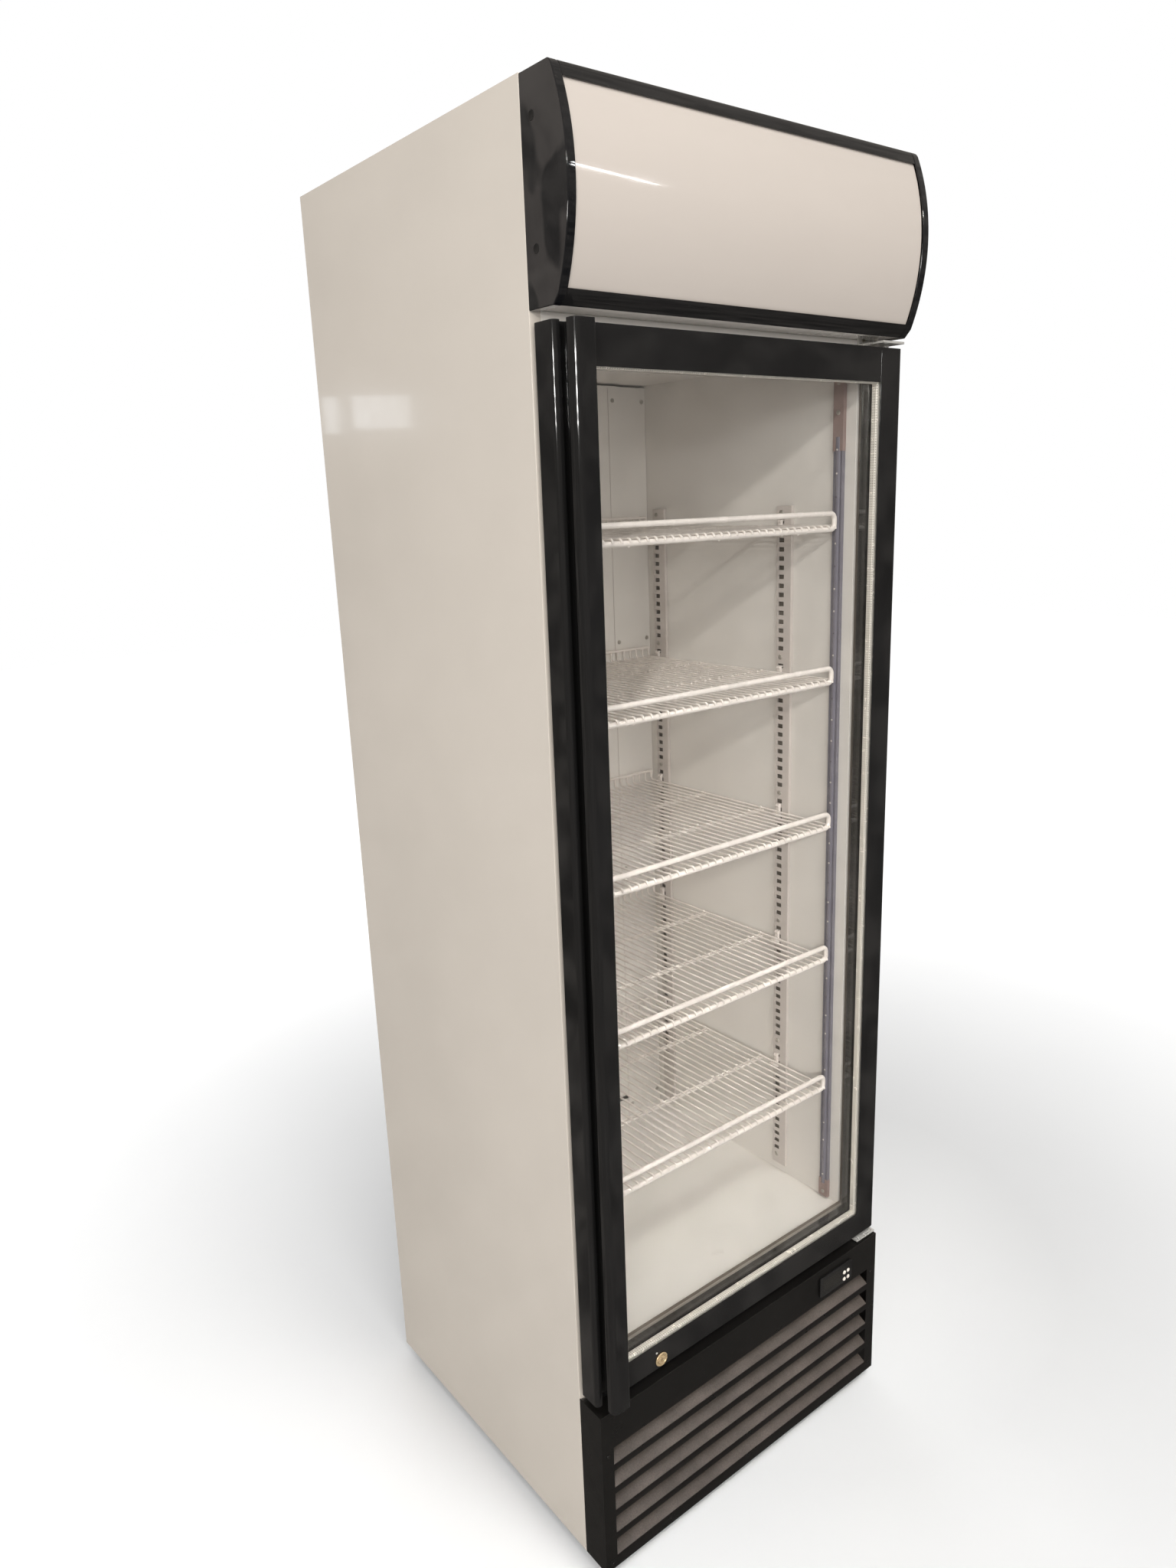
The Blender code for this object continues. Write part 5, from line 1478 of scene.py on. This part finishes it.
def condenser():
    """Finned coil with its return bends, and the line to the compressor."""
    low, high = local_box("condenser_coil")
    right = local_box("condenser_fan_shroud")[1].x
    left = low.x
    ends = (left + 0.01, low.y, low.z + 0.001), (right - 0.01, high.y - 0.0003, high.z - 0.001)
    fins("condenser_fins", *ends, 0.0034, 0.0004, CONDENSER_FINS, "copper", ["condenser_coil"])
    bm = bmesh.new()
    rows = [low.z + 0.018 + i * 0.0245 for i in range(8)]
    serpentine(bm, left + 0.0125, right - 0.0125, rows, (low.y + 0.0125, low.y + 0.034), 0.0037)
    route = bend([
        (right - 0.01, 0.059, rows[0]), (0.088, 0.059, rows[0]), (0.104, 0.085, 0.06), (0.106, 0.2, 0.1),
        (0.1, 0.28, 0.15), (0.0955, COMPRESSOR[1] - 0.101, 0.15),
    ], 0.025, 6)
    add_tube(bm, route, 0.0032, 12)
    finish_mesh("condenser_tubes", bm, COPPER, "copper")
    bm = bmesh.new()
    for x in (left + 0.006, right - 0.007):
        add_box(bm, (x, low.y, low.z), (x + 0.001, high.y - 0.0003, high.z))
    finish_mesh("condenser_end_plates", bm, GALVANISED, "galvanised", bevel=0.0002)


def fan_vanes(bm, centre, hub, radius, chord):
    """Twisted, cambered vanes with swept tips, as thin closed plates."""
    steps_r, steps_c = 8, 6
    half_thick, camber = 0.0007, 0.1
    pitch_hub, pitch_tip = 38, 22
    vanes = 5
    for i in range(vanes):
        spin = math.tau * i / vanes
        grids = []
        for face in (1, -1):
            grid = []
            for a in range(steps_r + 1):
                t = a / steps_r
                reach = hub * 0.94 + (radius - hub * 0.94) * t
                wide = chord * (0.7 + 0.42 * math.sin(math.pi * min(1.0, t * 0.72 + 0.12)))
                pitch = math.radians(pitch_hub + (pitch_tip - pitch_hub) * t)
                row = []
                for b in range(steps_c + 1):
                    s = b / steps_c - 0.5
                    bow = camber * wide * (0.25 - s * s) * 4
                    along = s * wide
                    u = along * math.cos(pitch) - bow * math.sin(pitch)
                    v = along * math.sin(pitch) + bow * math.cos(pitch) + face * half_thick
                    angle = spin + u / reach + 0.22 * t * t
                    edge = 1 - 0.05 * (2 * s) ** 2 * t
                    x = centre[0] + reach * edge * math.sin(angle)
                    z = centre[2] + reach * edge * math.cos(angle)
                    row.append(bm.verts.new(place(x, centre[1] + v, z)))
                grid.append(row)
            grids.append(grid)
        for grid in grids:
            for a in range(steps_r):
                for b in range(steps_c):
                    bm.faces.new((grid[a][b], grid[a][b + 1], grid[a + 1][b + 1], grid[a + 1][b]))
        top, under = grids
        border = [(0, b) for b in range(steps_c)] + [(a, steps_c) for a in range(steps_r)]
        border += [(steps_r, b) for b in range(steps_c, 0, -1)] + [(a, 0) for a in range(steps_r, 0, -1)]
        for (a, b), (c, d) in zip(border, border[1:] + border[:1]):
            bm.faces.new((top[a][b], top[c][d], under[c][d], under[a][b]))


def fan(prefix, body, hub, radius, chord, shaft):
    """Moulded blade wheel that turns about its motor's shaft."""
    low, high = local_box(f"{prefix}_blade")
    centre = ((low.x + high.x) / 2, (low.y + high.y) / 2, (low.z + high.z) / 2)
    bm = bmesh.new()
    profile = [
        (shaft, -0.0068), (hub * 0.8, -0.007), (hub, -0.005), (hub, 0.0064), (hub * 0.9, 0.007),
        (shaft, 0.0068),
    ]
    add_turned(bm, profile + profile[:1], centre, "Y", 36)
    fan_vanes(bm, centre, hub, radius - 0.001, chord)
    finish_mesh(f"{prefix}_wheel", bm, FOOT_PLASTIC, "black_paint", [f"{prefix}_blade"], body=body, sharp=45)


CONDENSER_FAN = (-0.1, 0.14)


def condenser_fan():
    """Blade wheel, shroud mouth, finned motor case and its strap."""
    fan("condenser_fan", "condenser_fan", 0.018, 0.086, 0.04, 0.0031)
    low, high = local_box("condenser_fan_shroud")
    x, level = CONDENSER_FAN
    keep("condenser_fan_shroud", GALVANISED, 0.0003)
    bm = bmesh.new()
    lip = [
        (0.0934, 0.0002), (0.0944, 0.012), (0.0954, 0.0122), (0.0954, 0.0016), (0.0975, 0.0002),
        (0.0934, 0.0002),
    ]
    add_turned(bm, [(reach, high.y + out) for reach, out in lip], (x, 0.0, level), "Y", 64)
    for a in (low.x + 0.01, high.x - 0.01):
        for b in (low.z + 0.012, high.z - 0.012):
            add_screw(bm, (a, high.y, b), "Y", 0.0038, 0.002)
    finish_mesh("condenser_fan_mouth", bm, GALVANISED, "galvanised")
    motor_low, motor_high = local_box("condenser_fan_motor")
    bm = bmesh.new()
    start = 0.112
    profile = [(0.0, 0.058), (0.028, 0.058), (0.0345, 0.055), (0.0365, 0.05), (0.0365, 0.047)]
    for k in range(9):
        at = 0.045 - k * 0.004
        profile += [(0.0398, at), (0.0398, at - 0.0016), (0.0368, at - 0.002)]
    profile += [
        (0.0365, 0.008), (0.032, 0.003), (0.012, 0.0), (0.006, -0.003), (0.003, -0.0034), (0.003, -0.026),
        (0.0, -0.0262),
    ]
    add_turned(bm, profile, (x, start, level), "Y", 48)
    finish_mesh("condenser_fan_motor_case", bm, BLACK_PAINT, "black_paint", ["condenser_fan_motor"], sharp=30)
    bm = bmesh.new()
    left, right = motor_low.x, motor_high.x
    strap = bend(
        [(left, 0.0786, level), (left, 0.151, level), (right, 0.151, level), (right, 0.0786, level)],
        0.006, 4,
    )
    loop = offset_strip([(p[0], p[1]) for p in strap], 0.002)
    add_prism(bm, loop, (level - 0.01, level + 0.01), "XY")
    for end in (left, right):
        wide = sorted((end, end + math.copysign(0.01, x - end)))
        add_box(bm, (wide[0], 0.0785, level - 0.01), (wide[1], 0.0798, level + 0.01))
    finish_mesh("condenser_fan_strap", bm, GALVANISED, "galvanised", bevel=0.0003)


def services():
    """Drain pan and mains inlet."""
    keep("drain_pan", BLACK_PAINT, 0.0006)
    bm, cutter = bmesh.new(), bmesh.new()
    low, high = local_box("power_inlet")
    add_prism(
        bm, rounded_rectangle((low.x, low.z), (high.x, high.z), 0.0035), (high.y - 0.0014, high.y), "XZ",
    )
    outline = [
        (0.2225, 0.0702), (0.2415, 0.0702), (0.2415, 0.093), (0.237, 0.0978), (0.227, 0.0978),
        (0.2225, 0.093),
    ]
    add_prism(cutter, outline, (0.535, 0.57), "XZ")
    add_prism(bm, rounded_rectangle((0.219, 0.061), (0.245, 0.107), 0.002), (0.5302, high.y - 0.0012), "XZ")
    mesh = carved("mains_inlet", bm, cutter)
    finish_piece("mains_inlet", mesh, FOOT_PLASTIC, "black_paint", ["power_inlet"], sharp=30, bevel=0.0003)
    bm = bmesh.new()
    for x, level in ((0.232, 0.0905), (0.225, 0.079), (0.239, 0.079)):
        add_box(bm, (x - 0.002, 0.5352, level - 0.001), (x + 0.002, 0.5515, level + 0.001))
    finish_mesh("inlet_pins", bm, NICKEL, "nickel", bevel=0.0004)
    bm = bmesh.new()
    for level in (0.0565, 0.1115):
        add_screw(bm, (0.232, high.y - 0.0004, level), "Y", 0.0032, 0.001)
    finish_mesh("inlet_screws", bm, SCREW_STEEL, "steel")


# ---------------------------------------------------------------- cold side


def evaporator():
    """Finned coil inside the duct."""
    low, high = local_box("evaporator_coil")
    fins("evaporator_fins", (low.x + 0.012, low.y, low.z), (high.x - 0.012, high.y, high.z), 0.0048, 0.0004,
         EVAPORATOR_FINS, "aluminium", ["evaporator_coil"])
    bm = bmesh.new()
    rows = [low.z + 0.02 + i * 0.03 for i in range(8)]
    serpentine(bm, low.x + 0.016, high.x - 0.016, rows, (low.y + 0.01, high.y - 0.01), 0.0045)
    finish_mesh("evaporator_tubes", bm, COPPER, "copper")
    bm = bmesh.new()
    for x in (low.x + 0.0085, high.x - 0.0095):
        add_box(bm, (x, low.y, low.z), (x + 0.001, high.y, high.z))
    finish_mesh("evaporator_end_plates", bm, ALUMINIUM, "aluminium", bevel=0.0002)


def suction_pipe():
    """The return line from the coil to the compressor."""
    x, depth = -0.225, 0.49
    start = COMPRESSOR[0] - 0.0775
    route = bend([
        (start, COMPRESSOR[1], 0.12), (0.01, 0.415, 0.112), (-0.06, 0.45, 0.112), (-0.15, 0.484, 0.118),
        (x, depth, 0.14), (x, depth, 1.337), (-0.1905, depth, 1.337),
    ], 0.016, 7)
    bm = bmesh.new()
    add_tube(bm, route, 0.004, 16)
    finish_mesh("suction_line", bm, COPPER, "copper", ["suction_pipe"], sharp=50)


def evaporator_fan():
    """Blade wheel and motor case at the top of the duct."""
    fan("evaporator_fan", "evaporator_fan", 0.014, 0.058, 0.027, 0.0021)
    bm = bmesh.new()
    profile = [
        (0.0, 0.0257), (0.02, 0.0257), (0.0218, 0.024), (0.022, 0.016), (0.0208, 0.015), (0.0208, 0.013),
        (0.022, 0.012), (0.022, 0.0035), (0.02, 0.001), (0.006, 0.0), (0.002, -0.001), (0.002, -0.02),
        (0.0, -0.0201),
    ]
    add_turned(bm, profile, (0.0, 0.484, 1.645), "Y", 40)
    finish_mesh(
        "evaporator_fan_motor_case", bm, BLACK_PAINT, "black_paint", ["evaporator_fan_motor"], sharp=30,
    )


# ---------------------------------------------------------------- studio


# Painted light: the floor's camera-only glow is nil within the first distance of this spot, right of the
# object, and full from the second.
GLOW_CENTRE = (0.45, 0.1, 0.0)
GLOW_REACH = (0.6, 2.4)


def paper(name):
    """Studio floor that the camera sees with a painted glow growing with distance from a spot beside the
    object: painted light that fades the floor to white far off, while near the object's right, where the glow
    is least, it stays darker as painted shade.
    """
    g = Graph(name)
    tone = g.remap(g.noise(2.0, 4.0), 0.3, 0.7, 0.0, 1.0)
    seen = g.add("ShaderNodeLightPath").outputs["Is Camera Ray"]
    offset = g.add("ShaderNodeVectorMath", operation="SUBTRACT")
    offset.inputs[1].default_value = GLOW_CENTRE
    g.join(g.coords, offset.inputs[0])
    reach = g.add("ShaderNodeVectorMath", operation="LENGTH")
    g.join(offset.outputs["Vector"], reach.inputs[0])
    far = g.remap(reach.outputs["Value"], *GLOW_REACH, 0.0, 0.62)
    return g.set(
        Base_Color=g.blend(tone, (0.63, 0.64, 0.655), (0.645, 0.655, 0.67)),
        Roughness=g.remap(g.noise(40.0, 3.0), 0.3, 0.7, 0.75, 0.9),
        Normal=g.bump(g.noise(300.0, 2.0), 0.05, 0.0005),
        Specular_IOR_Level=0.1,
        Emission_Color=(1.0, 1.0, 1.0),
        Emission_Strength=g.math("MULTIPLY", seen, far),
    )


def room():
    """Even light all round, white behind the object, and a dim room for the gloss to mirror."""
    g = Graph("studio", bpy.data.worlds, "Background", "Generated")
    patches = g.noise(26.0, 2.0)
    patches.node.inputs["Distortion"].default_value = 0.8
    direction = g.split()
    furnished = g.math(
        "MULTIPLY", g.remap(patches, 0.4, 0.62, 0.06, 0.25), g.remap(direction["X"], -0.35, 0.2, 1.0, 0.75)
    )
    ceiling = g.math("MULTIPLY_ADD", g.remap(direction["Z"], 0.0, 0.45, 0.0, 1.0), 0.16)
    g.join(furnished, ceiling.node.inputs[2])
    path = g.add("ShaderNodeLightPath")
    shader = g.shader
    shader.inputs["Color"].default_value = (1.0, 0.985, 0.96, 1.0)
    shader.inputs["Strength"].default_value = 0.6
    for ray, color in (("Is Glossy Ray", (1.0, 0.92, 0.84, 1.0)), ("Is Camera Ray", (1.0, 1.0, 1.0, 1.0))):
        other = g.add("ShaderNodeBackground")
        other.inputs["Color"].default_value = color
        if ray == "Is Glossy Ray":
            g.join(ceiling, other.inputs["Strength"])
        mix = g.add("ShaderNodeMixShader")
        for source, socket in zip((path.outputs[ray], shader.outputs[0], other.outputs[0]), mix.inputs):
            g.join(source, socket)
        shader = mix
    g.join(shader.outputs[0], g.nodes["World Output"].inputs["Surface"])
    return g.mat


def softbox(name, spot, aim, size, power, color, along=None):
    """A rectangular lamp facing a point; along is the direction of its first side, if that matters."""
    light = bpy.data.lights.new(name, "AREA")
    light.shape = "RECTANGLE"
    light.size, light.size_y = size
    light.energy = power
    light.color = color
    obj = linked(name, light)
    obj.location = spot
    if along is None:
        obj.rotation_euler = (aim - spot).to_track_quat("-Z", "Y").to_euler()
    else:
        first = along.normalized()
        back = (spot - aim) - first * (spot - aim).dot(first)
        back.normalize()
        obj.rotation_euler = Matrix((first, back.cross(first), back)).transposed().to_euler()
    return obj


# Lamps aimed at the object's middle: direction, distance, size, power, colour.
SOFT_LAMPS = {
    "overhead": ((-0.1, -0.5, 1.0), 3.2, (2.2, 1.2), 46, (1.0, 0.98, 0.95)),
    "fill": ((-0.45, -1.0, 0.35), 4.5, (2.5, 2.5), 98, (1.0, 0.97, 0.93)),
    "rear": ((0.5, 1.0, 0.5), 4.0, (2.0, 2.0), 25, (0.97, 0.98, 1.0)),
}
# Lamps that the gloss mirrors: two window panes, a ceiling tube and rows of ceiling lamps.
PANES = {
    "window_left": ((-2.04, 3.87, 2.01), (0.07, 0.17), 0.08),
    "window_right": ((-2.19, 3.63, 2.01), (0.27, 0.15), 0.25),
}
PANES_AIM = Vector((-0.31, 0.1, 1.68))
DAYLIGHT = (0.86, 0.93, 1.0)
TUBE = Vector((2.1, -3.3, 3.2)), Vector((2.94, -3.73, 3.2))
TUBE_AIM = Vector((-0.25, -0.31, 1.89))
ROWS = ((1.96, 0.02), (2.03, 0.03), (2.12, 0.05), (2.22, 0.03), (2.3, 0.05))
ROWS_AIM = Vector((-0.3, -0.3, 1.66))
ROWS_POWER = 230
CAMERA_SPOT = (-1.0708, -1.2992, 1.5571)
CAMERA_YAW, CAMERA_PITCH, CAMERA_ROLL = -0.6574, -0.2536, 0.0376


def sunlight():
    """Low warm sun over the camera's left shoulder."""
    sun = bpy.data.lights.new("key", "SUN")
    sun.energy = 0.9
    sun.angle = math.radians(3.0)
    sun.color = (1.0, 0.965, 0.91)
    key = linked("key", sun)
    key.rotation_euler = Vector((1.0, 0.92, -0.506)).to_track_quat("-Z", "Y").to_euler()


def soft_lamps():
    """Lamps that the gloss doesn't mirror."""
    middle = Vector((0.0, 0.0, 1.0))
    for name, (direction, distance, size, power, color) in SOFT_LAMPS.items():
        spot = middle + Vector(direction).normalized() * distance
        softbox(name, spot, middle, size, power, color).visible_glossy = False
    wash = softbox(
        "wash", Vector((0.0, -1.5, 2.5)), Vector((0.0, 0.0, 0.2)), (0.6, 0.3), 2.2, (1.0, 0.99, 0.95),
    )
    wash.data.spread = math.radians(40)
    wash.visible_glossy = False


def mirrored_lamps():
    """Lamps placed for what the gloss shows of them."""
    for name, (spot, size, power) in PANES.items():
        softbox(name, Vector(spot), PANES_AIM, size, power, DAYLIGHT)
    start, end = TUBE
    size = ((end - start).length, 0.04)
    softbox("ceiling_tube", (start + end) / 2, TUBE_AIM, size, 3.0, (1.0, 1.0, 1.0), end - start)
    for level, tall in ROWS:
        spot = Vector((-4.1, -3.1, level))
        softbox(f"lamp_row_{level:.2f}", spot, ROWS_AIM, (1.6, tall), ROWS_POWER * tall, (1.0, 0.99, 0.97))


def studio():
    """Plain pale floor, lamps and the camera."""
    scene = bpy.context.scene
    scene.view_settings.view_transform = "Standard"
    bm = bmesh.new()
    bmesh.ops.create_grid(bm, x_segments=2, y_segments=2, size=12.0)
    mesh = bpy.data.meshes.new("studio_floor")
    bm.to_mesh(mesh)
    bm.free()
    mesh.materials.append(paper("studio_floor"))
    floor = linked("studio_floor", mesh)
    floor.visible_glossy = False

    scene.world = room()
    sunlight()
    soft_lamps()
    mirrored_lamps()
    camera = bpy.data.cameras.new("camera")
    camera.lens = 24.98
    camera.sensor_width = 36.0
    view = linked("camera", camera)
    turn = Matrix.Rotation(CAMERA_YAW, 4, "Z") @ Matrix.Rotation(CAMERA_PITCH, 4, "X")
    turn = turn @ Matrix.Rotation(CAMERA_ROLL, 4, "Y") @ Matrix.Rotation(math.pi / 2, 4, "X")
    view.matrix_world = Matrix.Translation(CAMERA_SPOT) @ turn
    scene.camera = view


# ---------------------------------------------------------------- assembly

shell()
back_screws()
duct_details()
pilasters()
shelves()
led_strip()
end_caps()
canopy_front()
lamp()
hinges()
door_frame()
glazing()
gasket()
lock()
grille()
controller()
feet()
compressor()
condenser()
condenser_fan()
services()
evaporator()
suction_pipe()
evaporator_fan()
studio()
